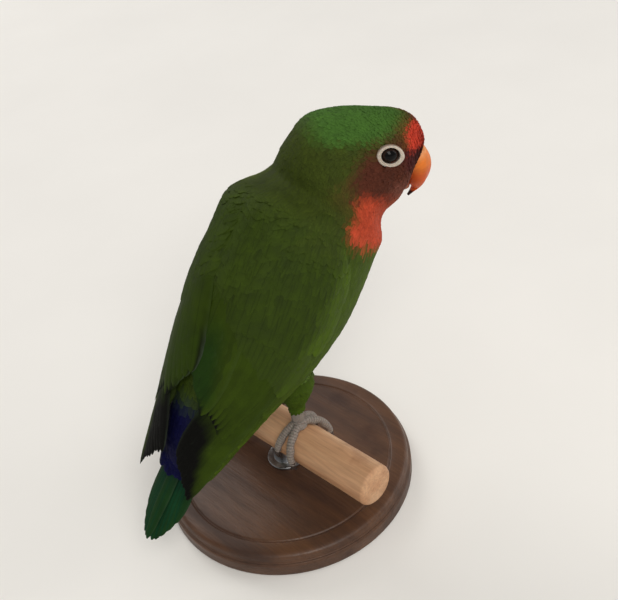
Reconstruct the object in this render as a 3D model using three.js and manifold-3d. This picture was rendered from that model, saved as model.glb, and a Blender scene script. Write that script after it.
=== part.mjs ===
// A peach faced lovebird at life size, still, gripping a short wooden perch on a plain stand.
// Units are millimetres. +X is the way the body faces, +Y its left side, +Z up.
// The origin is the centre of the base's underside.
import * as THREE from 'three';
import { mergeVertices } from 'three/addons/utils/BufferGeometryUtils.js';
import Module from 'manifold-3d';

const wasm = await Module();
wasm.setup();

// Stand and perch
const BASE_RADIUS = 40;
const BASE_THICKNESS = 8;
const BASE_CHAMFER = 1.2;
const ROD_RADIUS = 4;
const PERCH_RADIUS = 6.5;
const PERCH_LENGTH = 80;
const PERCH_CHAMFER = 0.9;
const PERCH_TOP = 28;
const PERCH_AXIS = PERCH_TOP - PERCH_RADIUS;

// Gap between neighbouring parts
const GAP = 0.3;

// Posture
const BODY_PITCH = THREE.MathUtils.degToRad(45.6);
const HEAD_PITCH = THREE.MathUtils.degToRad(6);
const HEAD_TURN = THREE.MathUtils.degToRad(-31);
const TAIL_PITCH = THREE.MathUtils.degToRad(46.5);
const VENT = [-28, 0, 41];
const HEAD = [41.7, 0, 103.7];
const NECK_PIVOT = [26, 0, 91];
const TURN_FROM = 64;
const TURN_TO = 90;

// Body stations from the tail root to the face: frame, lower point, upper point, half width,
// and how far up from the lower point the widest place is. The 'body' frame counts along the
// back from the vent and square to it, the 'head' frame forward and up from the head's middle.
const STATIONS = [
  ['body', [-13, -3], [-13, 3.4], 6, 0.5],
  ['body', [-7, -8], [-7, 6.6], 10.6, 0.5],
  ['body', [2, -14], [2, 9.4], 14.2, 0.52],
  ['body', [15, -20.5], [15, 12.5], 18.2, 0.52],
  ['body', [30, -26.5], [30, 16], 20.6, 0.53],
  ['body', [46, -30.5], [46, 18], 20.8, 0.54],
  ['body', [60, -31.8], [59, 18], 20.2, 0.55],
  ['body', [70, -31.6], [69, 17], 19.6, 0.55],
  ['head', [4, -28], [-22.5, 0.5], 18.2, 0.54],
  ['head', [7.2, -22.8], [-17.5, 6.6], 16.4, 0.52],
  ['head', [9.6, -19], [-10.2, 11.9], 15, 0.49],
  ['head', [11, -16.2], [-1.2, 11.9], 13.8, 0.47],
  ['head', [12.2, -13.6], [9, 9.9], 12.7, 0.47],
  ['head', [14.2, -11], [16.6, 5.9], 10.2, 0.5],
  ['head', [16.3, -8.2], [19.3, -0.8], 5.8, 0.5],
];
const TAIL_END = 0;
const TORSO_FROM = 1;
const TORSO_TO = 7;
const HEAD_FROM = 9;
const HEAD_TO = 14;
const STATION_GAP = 0.035;

// Surface that the folded wings lie on: place along the back, middle, half depth, half width
const WING_BED = [
  [-18, 0.8, 7.5, 15.4],
  [-8, 1.2, 8.9, 15.9],
  [2, 0.3, 11.8, 16.8],
  [15, -2.5, 16.4, 19.4],
  [30, -4.6, 21.4, 21.7],
  [46, -5.7, 24.3, 22.1],
  [60, -6.4, 25.1, 21.5],
  [72, -6.8, 24.6, 20.6],
  [82, -7, 22, 18.5],
];
// Upper and lower borders of the folded wing, as a share of the half turn from belly to back
const WING_UPPER = [[-13, 0.9], [-4, 0.92], [5, 0.93], [15, 0.94], [45, 0.95], [60, 0.92], [70, 0.84],
  [77, 0.7]];
const WING_LOWER = [[-13, 0.74], [5, 0.7], [15, 0.62], [30, 0.52], [55, 0.465], [70, 0.49], [77, 0.56]];
const WING_CORE = [[-10, 0.35], [5, 0.45], [25, 0.6], [45, 1.2], [58, 2.2], [68, 2.5], [74, 1.9], [77, 0.9]];

// Feathers of the solids
const PRIMARIES = 6;
const SECONDARIES = 5;
const COVERTS = 5;
const TAIL_LENGTH = 35.5;
// How much shorter each tail feather is than the middle one, from the middle outward
const TAIL_STEPS = [0, 0.5, 2, 4.5, 8];
const VANE_THICKNESS = 0.55;
const VANE_TILT = 0.34;

// Eyes and bill, in the head frame: forward, up, aside
const EYE_PLACE = [7.5, 1.5];
const EYE_RADIUS = 3.5;
const EYE_DEPTH = 2.45;
const RING_RADIUS = 3.35;
const RING_THICKNESS = 0.75;
const EYE_AIM = [0.03, 0.16, 1];
const UPPER_BILL = [
  [[9.9, -9.2], [14.4, -1], 5.6, 0.5],
  [[12, -10.7], [19.1, -3.2], 6.2, 0.5],
  [[12.7, -12.7], [20.4, -7.2], 6, 0.5],
  [[13.3, -14.2], [20.6, -10.6], 5.3, 0.5],
  [[13.8, -15.5], [19.5, -14.2], 4.3, 0.5],
  [[13.6, -17], [17.1, -17.6], 3, 0.5],
  [[12.6, -18.4], [14.5, -19.6], 1.9, 0.5],
  [[11.3, -19.9], [11.9, -20.8], 0.8, 0.5],
];
const LOWER_BILL = [
  [[7.4, -16.1], [8.9, -10.7], 5.1, 0.5],
  [[10, -16.8], [11.1, -11.7], 4.7, 0.45],
  [[11.8, -16.9], [12.8, -13.2], 3.9, 0.4],
  [[12.8, -16.4], [13.4, -15], 2.4, 0.4],
];
const NOSTRIL_PLACE = [18.5, -3.6, 3.4];
const NOSTRIL_RADIUS = 0.75;

// Legs and feet
const LEG_SPREAD = 10;
const LEG_TOP = [1.5, 49];
const LEG_KNEE = [0.8, 38.5];
const ANKLE = [0, 31.4];
const TOE_RADIUS = 1.35;
const CLAW_LENGTH = 4.6;
// Toes of one foot: sideways start and end, and the arc round the perch, + forward of the top
const TOES = [
  [1.6, 4.2, 98],
  [-1.4, -2.4, 88],
  [1.5, 3.6, -96],
  [-1.3, -2.6, -80],
];

// Row of numbers interpolated through the given rows by a smooth spline
function spline(rows, t) {
  const n = rows.length;
  const s = Math.min(Math.max(t, 0), n - 1 - 1e-9);
  const i = Math.floor(s);
  const f = s - i;
  const b = rows[i];
  const c = rows[i + 1];
  const a = i > 0 ? rows[i - 1] : b.map((v, k) => 2 * v - c[k]);
  const d = i < n - 2 ? rows[i + 2] : c.map((v, k) => 2 * v - b[k]);
  return b.map((v, k) => 0.5 * (2 * v + (c[k] - a[k]) * f
    + (2 * a[k] - 5 * v + 4 * c[k] - d[k]) * f * f
    + (3 * v - a[k] - 3 * c[k] + d[k]) * f * f * f));
}

// Straight interpolation in a table of [place, value, ...] rows
function lookUp(table, x, column = 1) {
  if (x <= table[0][0]) return table[0][column];
  for (let i = 1; i < table.length; i++) {
    if (x <= table[i][0]) {
      const f = (x - table[i - 1][0]) / (table[i][0] - table[i - 1][0]);
      return THREE.MathUtils.lerp(table[i - 1][column], table[i][column], f);
    }
  }
  return table[table.length - 1][column];
}

// Point in the middle plane from the body frame
function bodyFrame([s, n], y = 0) {
  const c = Math.cos(BODY_PITCH);
  const k = Math.sin(BODY_PITCH);
  return new THREE.Vector3(VENT[0] + c * s - k * n, y, VENT[2] + k * s + c * n);
}

// Point in the head frame, before the head is turned
function headFrame([f, u], y = 0) {
  const c = Math.cos(HEAD_PITCH);
  const k = Math.sin(HEAD_PITCH);
  return new THREE.Vector3(HEAD[0] + c * f - k * u, y, HEAD[2] + k * f + c * u);
}

// Turn of the head about an upright line through the neck, growing along the neck
function turned(p) {
  const s = (p.x - VENT[0]) * Math.cos(BODY_PITCH) + (p.z - VENT[2]) * Math.sin(BODY_PITCH);
  const a = HEAD_TURN * THREE.MathUtils.smoothstep(s, TURN_FROM, TURN_TO);
  const x = p.x - NECK_PIVOT[0];
  return new THREE.Vector3(
    NECK_PIVOT[0] + Math.cos(a) * x - Math.sin(a) * p.y,
    Math.sin(a) * x + Math.cos(a) * p.y,
    p.z,
  );
}

const BODY_ROWS = STATIONS.map(([frame, low, high, width, widest]) => {
  const place = frame === 'body' ? bodyFrame : headFrame;
  const v = place(low);
  const d = place(high);
  return [v.x, v.z, d.x, d.z, width, widest];
});

// Point of a section given by its lower and upper points, half width and widest place.
// The angle runs from the lower point (0) over the left side to the upper point (half turn).
function sectionPoint([vx, vz, dx, dz, width, widest], angle, grow = 0) {
  const c = Math.cos(angle);
  const f = c > 0 ? widest * (1 - c) : widest - (1 - widest) * c;
  const long = Math.hypot(dx - vx, dz - vz);
  const ex = (dx - vx) / long;
  const ez = (dz - vz) / long;
  const reach = -grow + f * (long + 2 * grow);
  return new THREE.Vector3(vx + ex * reach, (width + grow) * Math.sin(angle), vz + ez * reach);
}

function bodyPoint(u, angle, grow = 0) {
  const p = sectionPoint(spline(BODY_ROWS, u), angle, grow);
  p.x += grow * THREE.MathUtils.smoothstep(u, HEAD_TO - 3, HEAD_TO);
  return turned(p);
}

// Indexed geometry from points and triangles
function geometryOf(points, triangles) {
  const geometry = new THREE.BufferGeometry().setFromPoints(points);
  geometry.setIndex(triangles.flat());
  return geometry;
}

// Closed body over rows of ring points, with a fan at each end
function ringBody(rows) {
  const n = rows[0].length;
  const points = rows.flat();
  const triangles = [];
  for (let i = 0; i + 1 < rows.length; i++) {
    for (let j = 0; j < n; j++) {
      const a = i * n + j;
      const b = i * n + ((j + 1) % n);
      triangles.push([a, b, b + n], [a, b + n, a + n]);
    }
  }
  for (const [row, turn] of [[0, 1], [rows.length - 1, 0]]) {
    const middle = rows[row].reduce((m, p) => m.add(p), new THREE.Vector3()).divideScalar(n);
    points.push(middle);
    for (let j = 0; j < n; j++) {
      const a = row * n + j;
      const b = row * n + ((j + 1) % n);
      triangles.push(turn ? [points.length - 1, b, a] : [points.length - 1, a, b]);
    }
  }
  return geometryOf(points, triangles);
}

// Solid for joins and cuts, with its faces turned outward
function solid(geometry) {
  const bare = geometry.index ? geometry : mergeVertices(geometry);
  bare.deleteAttribute('normal');
  bare.deleteAttribute('uv');
  const merged = mergeVertices(bare, 1e-4);
  const position = merged.attributes.position;
  const index = Array.from(merged.index.array);
  const corner = (k) => new THREE.Vector3().fromBufferAttribute(position, index[k]);
  let volume = 0;
  for (let k = 0; k < index.length; k += 3) {
    volume += corner(k).dot(corner(k + 1).cross(corner(k + 2)));
  }
  if (volume < 0) {
    for (let k = 0; k < index.length; k += 3) [index[k], index[k + 1]] = [index[k + 1], index[k]];
  }
  return new wasm.Manifold(new wasm.Mesh({
    numProp: 3,
    vertProperties: new Float32Array(position.array),
    triVerts: new Uint32Array(index),
  }));
}

const join = (pieces) => pieces.reduce((whole, piece) => whole.add(piece));

// The largest closed surface of a joined or cut solid
function largest(whole) {
  return whole.decompose().reduce((a, b) => (b.volume() > a.volume() ? b : a));
}

// Body between two stations, grown outward by a margin for cutting room in a neighbour
function bodyPart(from, to, rows, around, grow = 0) {
  const rings = [];
  for (let i = 0; i < rows; i++) {
    const u = THREE.MathUtils.lerp(from, to, i / (rows - 1));
    const ring = [];
    for (let j = 0; j < around; j++) ring.push(bodyPoint(u, (2 * Math.PI * j) / around, grow));
    rings.push(ring);
  }
  return solid(ringBody(rings));
}

// Closed body through rows of sections in the head frame
function headLoft(sections, rows, around, grow = 0) {
  const frame = sections.map(([low, high, width, widest]) => {
    const v = headFrame(low);
    const d = headFrame(high);
    return [v.x, v.z, d.x, d.z, width, widest];
  });
  const rings = [];
  for (let i = 0; i < rows; i++) {
    const section = spline(frame, ((frame.length - 1) * i) / (rows - 1));
    const ring = [];
    for (let j = 0; j < around; j++) {
      ring.push(turned(sectionPoint(section, (2 * Math.PI * j) / around, grow)));
    }
    rings.push(ring);
  }
  return solid(ringBody(rings));
}

// Point on the wing bed: place along the back, share of the half turn, height over the bed
function bedPoint(side, s, share, height = 0) {
  const angle = share * Math.PI;
  const n = lookUp(WING_BED, s, 1) - (lookUp(WING_BED, s, 2) + height) * Math.cos(angle);
  return bodyFrame([s, n], side * (lookUp(WING_BED, s, 3) + height) * Math.sin(angle));
}

// Half width of a vane along its length: narrow root, full middle, rounded tip
const LONG_VANE = [[0, 0.75], [0.5, 1], [0.88, 0.84], [1, 0.25]];
const SHORT_VANE = [[0, 0.9], [0.7, 0.95], [1, 0.35]];

// Thin tapered vane from a function that places (along, across, height). Its tilt raises the
// edge that lies over a neighbour. Top and bottom are split alike, so the thickness stays even.
function vane(place, halfWidth, tilt, outline = LONG_VANE) {
  const points = [];
  for (const [t, share] of outline) {
    const w = halfWidth * share;
    const thick = VANE_THICKNESS * (t > 0.95 ? 0.7 : 1);
    for (const [x, z] of [[-w, thick], [w, thick], [w, 0], [-w, 0]]) {
      points.push(place(t, x, z + (tilt * x) / halfWidth));
    }
  }
  const triangles = [[0, 3, 2], [0, 2, 1]];
  const last = (outline.length - 1) * 4;
  for (let i = 0; i < last; i += 4) {
    for (let j = 0; j < 4; j++) {
      const a = i + j;
      const b = i + ((j + 1) % 4);
      if (j < 2) triangles.push([a, b, b + 4], [a, b + 4, a + 4]);
      else triangles.push([a, b, a + 4], [b, b + 4, a + 4]);
    }
  }
  triangles.push([last, last + 2, last + 3], [last, last + 1, last + 2]);
  return solid(geometryOf(points, triangles));
}

// Wing feather from a root to a tip on the wing bed
function wingVane(side, root, tip, halfWidth, outline) {
  const [s0, share0, rise0] = root;
  const [s1, share1, rise1] = tip;
  return vane((t, x, z) => {
    const s = THREE.MathUtils.lerp(s0, s1, t);
    const share = THREE.MathUtils.lerp(share0, share1, t);
    const radius = 0.5 * (lookUp(WING_BED, s, 2) + lookUp(WING_BED, s, 3));
    const rise = THREE.MathUtils.lerp(rise0, rise1, t);
    return bedPoint(side, s, share + x / (Math.PI * radius), rise + z);
  }, halfWidth, -VANE_TILT, outline);
}

// Plate that carries the wing's feathers and swells into the shoulder
function wingCore(side) {
  const along = 12;
  const across = 5;
  const points = [];
  for (const top of [1, 0]) {
    for (let i = 0; i <= along; i++) {
      const s = THREE.MathUtils.lerp(-5, 77, i / along);
      const inset = 0.035 + 0.03 * THREE.MathUtils.smoothstep(-s, -12, 10);
      const low = lookUp(WING_LOWER, s) + inset;
      const high = lookUp(WING_UPPER, s) - inset;
      const sink = -0.35 - 3.6 * THREE.MathUtils.smoothstep(s, 6, 16);
      for (let j = 0; j <= across; j++) {
        const q = j / across;
        const swell = lookUp(WING_CORE, s) * (0.45 + 0.55 * Math.sin(Math.PI * q) ** 0.6);
        points.push(bedPoint(side, s, THREE.MathUtils.lerp(low, high, q), top ? swell : sink));
      }
    }
  }
  const id = (top, i, j) => (top ? 0 : (along + 1) * (across + 1)) + i * (across + 1) + j;
  const triangles = [];
  const quad = (a, b, c, d) => triangles.push([a, b, c], [a, c, d]);
  for (let i = 0; i < along; i++) {
    for (let j = 0; j < across; j++) {
      quad(id(1, i, j), id(1, i + 1, j), id(1, i + 1, j + 1), id(1, i, j + 1));
      triangles.push([id(0, i, j), id(0, i + 1, j + 1), id(0, i + 1, j)]);
      triangles.push([id(0, i, j), id(0, i, j + 1), id(0, i + 1, j + 1)]);
    }
  }
  for (let i = 0; i < along; i++) {
    quad(id(0, i, 0), id(0, i + 1, 0), id(1, i + 1, 0), id(1, i, 0));
    quad(id(1, i, across), id(1, i + 1, across), id(0, i + 1, across), id(0, i, across));
  }
  for (let j = 0; j < across; j++) {
    quad(id(1, 0, j), id(1, 0, j + 1), id(0, 0, j + 1), id(0, 0, j));
    quad(id(0, along, j), id(0, along, j + 1), id(1, along, j + 1), id(1, along, j));
  }
  return solid(geometryOf(points, triangles));
}

// Folded wing: long primaries lowest, then secondaries, greater and median coverts over them
function wingSolid(side, bodyRoom, tailRoom) {
  const lerp = THREE.MathUtils.lerp;
  const pieces = [wingCore(side)];
  for (let k = 0; k < PRIMARIES; k++) {
    const q = k / (PRIMARIES - 1);
    pieces.push(wingVane(
      side,
      [34, lerp(0.53, 0.67, q), lerp(0.1, 0.4, q)],
      [lerp(-14, 0, q), lerp(0.78, 0.915, q), lerp(0.3, 1, q)],
      2.6,
    ));
  }
  for (let k = 0; k < SECONDARIES; k++) {
    const q = k / (SECONDARIES - 1);
    pieces.push(wingVane(
      side,
      [lerp(42, 50, q), lerp(0.56, 0.88, q), 0.4],
      [lerp(4, 17, q), lerp(0.83, 0.92, q), lerp(1.6, 1.2, q)],
      3.7,
    ));
  }
  for (let k = 0; k < COVERTS; k++) {
    const q = k / (COVERTS - 1);
    pieces.push(wingVane(
      side,
      [lerp(52, 58, q), lerp(0.52, 0.88, q), 0.8],
      [lerp(27, 37, q), lerp(0.535, 0.9, q), 1.9],
      4.5,
      SHORT_VANE,
    ));
    pieces.push(wingVane(
      side,
      [lerp(65, 67, q), lerp(0.53, 0.83, q), 1.3],
      [lerp(44, 50, q), lerp(0.52, 0.88, q), 2.1],
      4.4,
      SHORT_VANE,
    ));
  }
  return largest(join(pieces).subtract(bodyRoom).subtract(tailRoom));
}

const TAIL_ROOT = bodyFrame([3, 4.4]);

// Tail feather that ends aside of the middle, lying at a height over the tail's middle plane
function tailVane(aside, length, halfWidth, [rise0, rise1], start = 0, pitch = TAIL_PITCH) {
  const back = new THREE.Vector3(-Math.cos(pitch), 0, -Math.sin(pitch));
  const up = new THREE.Vector3(-Math.sin(pitch), 0, Math.cos(pitch));
  return vane((t, x, z) => {
    const y = aside * THREE.MathUtils.lerp(0.75, 1, t) + x;
    const point = TAIL_ROOT.clone()
      .addScaledVector(back, start + t * length)
      .addScaledVector(up, THREE.MathUtils.lerp(rise0, rise1, t) + z - 0.018 * y * y);
    point.y = y;
    return point;
  }, halfWidth, VANE_TILT * Math.sign(aside), start > 0 ? SHORT_VANE : LONG_VANE);
}

function tailSolid(torsoRoom) {
  const pieces = [bodyPart(TAIL_END, TORSO_FROM - STATION_GAP, 4, 16)];
  for (let k = TAIL_STEPS.length - 1; k >= 1; k--) {
    for (const side of [-1, 1]) {
      const length = TAIL_LENGTH - TAIL_STEPS[k];
      pieces.push(tailVane(side * (0.5 + 1.5 * k), length, 2.2, [0.2 - 0.1 * k, -0.2 - 0.1 * k]));
    }
  }
  pieces.push(tailVane(0, TAIL_LENGTH, 2.5, [0.75, 0.35]));
  for (const [aside, length, rise] of [[-7.4, 15, 1.2], [7.4, 15, 1.2], [0, 20, 2.4]]) {
    pieces.push(tailVane(aside, length, 4.4, [rise, rise - 0.9], 2));
  }
  for (const [aside, length] of [[-4, 18], [4, 18], [0, 21]]) {
    pieces.push(tailVane(aside, length, 4, [-7, -3.6], 3));
  }
  return largest(join(pieces).subtract(torsoRoom));
}

// Rod of changing thickness along points, square to its run, with flat ends
function limb(points, radii, around) {
  const curve = new THREE.CatmullRomCurve3(points, false, 'centripetal');
  const rings = [];
  const aside = new THREE.Vector3(0, 1, 0);
  for (let i = 0; i < radii.length; i++) {
    const t = i / (radii.length - 1);
    const middle = curve.getPoint(t);
    const run = curve.getTangent(t);
    const across = aside.clone().addScaledVector(run, -aside.dot(run)).normalize();
    const up = new THREE.Vector3().crossVectors(run, across);
    const ring = [];
    for (let j = 0; j < around; j++) {
      const angle = (2 * Math.PI * j) / around;
      ring.push(middle.clone()
        .addScaledVector(across, radii[i] * Math.cos(angle))
        .addScaledVector(up, radii[i] * Math.sin(angle)));
    }
    rings.push(ring);
  }
  return solid(ringBody(rings));
}

// Leg: feathered thigh under the belly, then the bare shank down to the ankle
function legSolid(side, bodyRoom) {
  const y = side * LEG_SPREAD;
  const points = [LEG_TOP, LEG_KNEE, ANKLE].map(([x, z]) => new THREE.Vector3(x, y, z));
  points[2].z += GAP;
  const whole = limb(points, [6.4, 6.2, 5.4, 4, 2.4, 2.05, 1.95], 12);
  return largest(whole.subtract(bodyRoom));
}

// One toe bent round the perch, with its claw
function toe(side, [start, end, arc], y) {
  const radius = PERCH_RADIUS + GAP + TOE_RADIUS;
  const sign = Math.sign(arc);
  const at = (degrees, aside, out = 0) => {
    const a = THREE.MathUtils.degToRad(degrees);
    return new THREE.Vector3(
      sign * (radius + out) * Math.sin(a), y + side * aside, PERCH_AXIS + (radius + out) * Math.cos(a),
    );
  };
  const far = Math.abs(arc);
  const points = [];
  for (let i = 0; i <= 4; i++) {
    points.push(at(far * (i / 4), THREE.MathUtils.lerp(start * 0.4, end, i / 4)));
  }
  const pads = [1.35, 1.28, 1.34, 1.2, 1.26, 1.02];
  const claw = [];
  for (let i = 0; i <= 4; i++) {
    const t = i / 4;
    const degrees = far - 6 + (t * CLAW_LENGTH * 57.3) / radius;
    claw.push(at(degrees, end, 0.5 * Math.sin(Math.PI * t) - 0.25 * t));
  }
  return limb(points, pads, 7).add(limb(claw, [0.85, 0.72, 0.46, 0.16], 5));
}

function footSolid(side, perchRoom) {
  const y = side * LEG_SPREAD;
  const pieces = TOES.map((shape) => toe(side, shape, y));
  const low = new THREE.Vector3(ANKLE[0], y, PERCH_TOP + 0.6);
  const high = new THREE.Vector3(ANKLE[0], y, ANKLE[1]);
  pieces.push(limb([low, high], [2.5, 2.1, 1.95], 12));
  return largest(join(pieces).subtract(perchRoom));
}

// Frame for an eye: its place on the head's side and the way it looks
function eyeFrame(side) {
  const bare = new THREE.Vector3();
  let best = Infinity;
  for (let i = 0; i <= 60; i++) {
    for (let j = 0; j <= 40; j++) {
      const u = THREE.MathUtils.lerp(HEAD_FROM, HEAD_TO - 0.5, i / 60);
      const p = sectionPoint(spline(BODY_ROWS, u), THREE.MathUtils.lerp(0.3, 0.8, j / 40) * Math.PI);
      const aim = headFrame(EYE_PLACE);
      const miss = Math.hypot(p.x - aim.x, p.z - aim.z);
      if (miss < best) {
        best = miss;
        bare.copy(p);
      }
    }
  }
  bare.y *= side;
  const [f, u, a] = EYE_AIM;
  const tip = headFrame([f, u], side * a).sub(headFrame([0, 0])).add(bare);
  const place = turned(bare);
  const aim = turned(tip).sub(place).normalize();
  return { place, aim };
}

function ringSolid({ place, aim }, grow = 0) {
  const ring = new THREE.TorusGeometry(RING_RADIUS, RING_THICKNESS + grow, 6, 20);
  ring.applyQuaternion(new THREE.Quaternion().setFromUnitVectors(new THREE.Vector3(0, 0, 1), aim));
  return solid(ring.translate(place.x, place.y, place.z));
}

function ballSolid({ place, aim }, grow = 0) {
  const ball = new THREE.SphereGeometry(EYE_RADIUS + grow, 14, 9).rotateX(Math.PI / 2);
  ball.applyQuaternion(new THREE.Quaternion().setFromUnitVectors(new THREE.Vector3(0, 0, 1), aim));
  const middle = place.clone().addScaledVector(aim, -EYE_DEPTH);
  return solid(ball.translate(middle.x, middle.y, middle.z));
}

// Small ball at a place in the head frame, for cutting a nostril
function dent([f, u, y], radius) {
  const p = turned(headFrame([f, u], y));
  return solid(new THREE.SphereGeometry(radius, 8, 6).translate(p.x, p.y, p.z));
}

// Shallow slot behind the bill that carries the line of the mouth back into the cheek
function gapeSlot(side) {
  const from = turned(headFrame([13.4, -11.4], side * 8.6));
  const to = turned(headFrame([8.2, -10.2], side * 12.2));
  const run = to.clone().sub(from);
  const slot = new THREE.BoxGeometry(run.length(), 2.4, 0.6);
  const level = new THREE.Vector3(1, 0, 0);
  slot.applyQuaternion(new THREE.Quaternion().setFromUnitVectors(level, run.normalize()));
  const middle = from.add(to).multiplyScalar(0.5);
  return solid(slot.translate(middle.x, middle.y, middle.z));
}

// Round bar along Y with chamfered ends
function barSolid(radius, length, chamfer, x, z) {
  const profile = [[0, -length / 2], [radius - chamfer, -length / 2], [radius, chamfer - length / 2],
    [radius, length / 2 - chamfer], [radius - chamfer, length / 2], [0, length / 2]];
  const bar = new THREE.LatheGeometry(profile.map(([r, y]) => new THREE.Vector2(r, y)), 28);
  return solid(bar.translate(x, 0, z));
}

// Upright round post between two heights
function postSolid(radius, low, high, sides) {
  const post = new THREE.CylinderGeometry(radius, radius, high - low, sides).rotateX(Math.PI / 2);
  return solid(post.translate(0, 0, (low + high) / 2));
}

function baseSolid() {
  const r = BASE_RADIUS;
  const h = BASE_THICKNESS;
  const c = BASE_CHAMFER;
  const profile = [[0, 0], [r - 0.5, 0], [r, 0.5], [r, h - c], [r - c, h], [0, h]];
  const disc = new THREE.LatheGeometry(profile.map(([x, y]) => new THREE.Vector2(x, y)), 48);
  return solid(disc.rotateX(Math.PI / 2));
}

// Named part with its own material
function part(name, body, color, roughness, metalness = 0) {
  const mesh = body.getMesh();
  const geometry = new THREE.BufferGeometry();
  const stride = mesh.numProp;
  const count = mesh.vertProperties.length / stride;
  const position = new Float32Array(count * 3);
  for (let i = 0; i < count; i++) {
    for (let k = 0; k < 3; k++) position[3 * i + k] = mesh.vertProperties[stride * i + k];
  }
  geometry.setAttribute('position', new THREE.BufferAttribute(position, 3));
  geometry.setIndex(Array.from(mesh.triVerts));
  geometry.computeVertexNormals();
  const material = new THREE.MeshStandardMaterial({ color, roughness, metalness, flatShading: true });
  const made = new THREE.Mesh(geometry, material);
  made.name = name;
  return made;
}

const bird = new THREE.Group();
bird.name = 'lovebird_on_stand';

const torso = bodyPart(TORSO_FROM, TORSO_TO, 15, 24);
const bodyRoom = bodyPart(TORSO_FROM - 0.4, HEAD_FROM, 20, 24, GAP + 0.1);
const tailRoom = bodyPart(TAIL_END, TORSO_FROM, 4, 16, GAP);
const headRoom = bodyPart(HEAD_FROM, HEAD_TO, 13, 26, GAP);
const perch = barSolid(PERCH_RADIUS, PERCH_LENGTH, PERCH_CHAMFER, 0, PERCH_AXIS);
const perchRoom = barSolid(PERCH_RADIUS + GAP, PERCH_LENGTH, PERCH_CHAMFER, 0, PERCH_AXIS);
const torsoBehind = bodyPart(TORSO_FROM - 0.012, TORSO_TO, 15, 24, GAP);

bird.add(part('torso', torso, '#3f5a1e', 0.9));
bird.add(part('neck', bodyPart(TORSO_TO + STATION_GAP, HEAD_FROM - STATION_GAP, 5, 24), '#44601f', 0.9));
bird.add(part('tail', tailSolid(torsoBehind), '#1d5c4a', 0.85));

const upperBill = headLoft(UPPER_BILL, 11, 12);
const upperRoom = headLoft(UPPER_BILL, 11, 12, GAP);
let head = bodyPart(HEAD_FROM, HEAD_TO, 13, 26);
for (const [side, name] of [[1, 'left'], [-1, 'right']]) {
  const eye = eyeFrame(side);
  head = head.subtract(ballSolid(eye, GAP)).subtract(ringSolid(eye, GAP)).subtract(gapeSlot(side));
  const ball = ballSolid(eye).subtract(ringSolid(eye, GAP));
  bird.add(part(`eye_${name}`, largest(ball), '#120c08', 0.15));
  bird.add(part(`eye_ring_${name}`, ringSolid(eye), '#d8d4cc', 0.7));
  bird.add(part(`wing_${name}`, wingSolid(side, bodyRoom, tailRoom), '#3a551c', 0.85));
  bird.add(part(`leg_${name}`, legSolid(side, bodyRoom), '#4c6a26', 0.85));
  bird.add(part(`foot_${name}`, footSolid(side, perchRoom), '#8a7d74', 0.7));
}
bird.add(part('head', largest(head), '#6b4a26', 0.9));

const nostrils = [1, -1].map((side) => {
  const [f, u, y] = NOSTRIL_PLACE;
  return dent([f, u, side * y], NOSTRIL_RADIUS);
});
const upper = upperBill.subtract(headRoom).subtract(nostrils[0]).subtract(nostrils[1]);
bird.add(part('bill_upper', largest(upper), '#c9552a', 0.4));
const lower = headLoft(LOWER_BILL, 5, 12).subtract(headRoom).subtract(upperRoom);
bird.add(part('bill_lower', largest(lower), '#c4714a', 0.45));

bird.add(part('perch', perch, '#b98a5e', 0.75));
const rod = postSolid(ROD_RADIUS, BASE_THICKNESS + GAP, PERCH_AXIS, 24).subtract(perchRoom);
bird.add(part('stand_rod', largest(rod), '#5b5d60', 0.4));
bird.add(part('stand_base', baseSolid(), '#3c3e41', 0.5));

export default bird;
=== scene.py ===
"""Looks of a life-size lovebird that grips a short perch on a plain stand.

Shapes are worked out in millimetres with numpy and put into meshes in metres. +X is the way the
body faces, +Y its left side, +Z up, and the origin is the centre of the base's underside.
"""

import logging
import math
from collections.abc import Callable
from dataclasses import dataclass, field, fields
from enum import Enum
from functools import partial

import bpy
import numpy as np
from mathutils import Matrix


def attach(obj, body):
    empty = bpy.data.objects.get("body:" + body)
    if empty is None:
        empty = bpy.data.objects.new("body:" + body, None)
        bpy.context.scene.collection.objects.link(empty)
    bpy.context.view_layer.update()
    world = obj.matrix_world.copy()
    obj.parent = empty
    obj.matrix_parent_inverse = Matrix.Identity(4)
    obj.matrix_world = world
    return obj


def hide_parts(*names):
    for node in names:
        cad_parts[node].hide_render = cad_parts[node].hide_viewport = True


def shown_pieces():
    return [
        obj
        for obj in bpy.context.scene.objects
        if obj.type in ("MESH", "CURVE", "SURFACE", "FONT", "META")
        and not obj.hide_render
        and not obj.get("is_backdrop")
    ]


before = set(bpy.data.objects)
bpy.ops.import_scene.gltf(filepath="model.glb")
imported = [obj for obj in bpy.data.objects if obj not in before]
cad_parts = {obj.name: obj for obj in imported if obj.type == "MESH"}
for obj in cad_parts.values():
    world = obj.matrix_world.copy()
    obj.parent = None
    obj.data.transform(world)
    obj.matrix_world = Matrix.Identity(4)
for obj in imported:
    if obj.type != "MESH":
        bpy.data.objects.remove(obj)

LOG = logging.getLogger("lovebird")
Array = np.ndarray
Object = bpy.types.Object
Socket = bpy.types.NodeSocket
Rng = np.random.Generator
Pair = tuple[float, float]
Triple = tuple[float, float, float]

MM = 0.001
FULL = 2 * math.pi
PAINT = "Plumage"
ASIDE = np.array([0.0, 1.0, 0.0])


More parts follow.
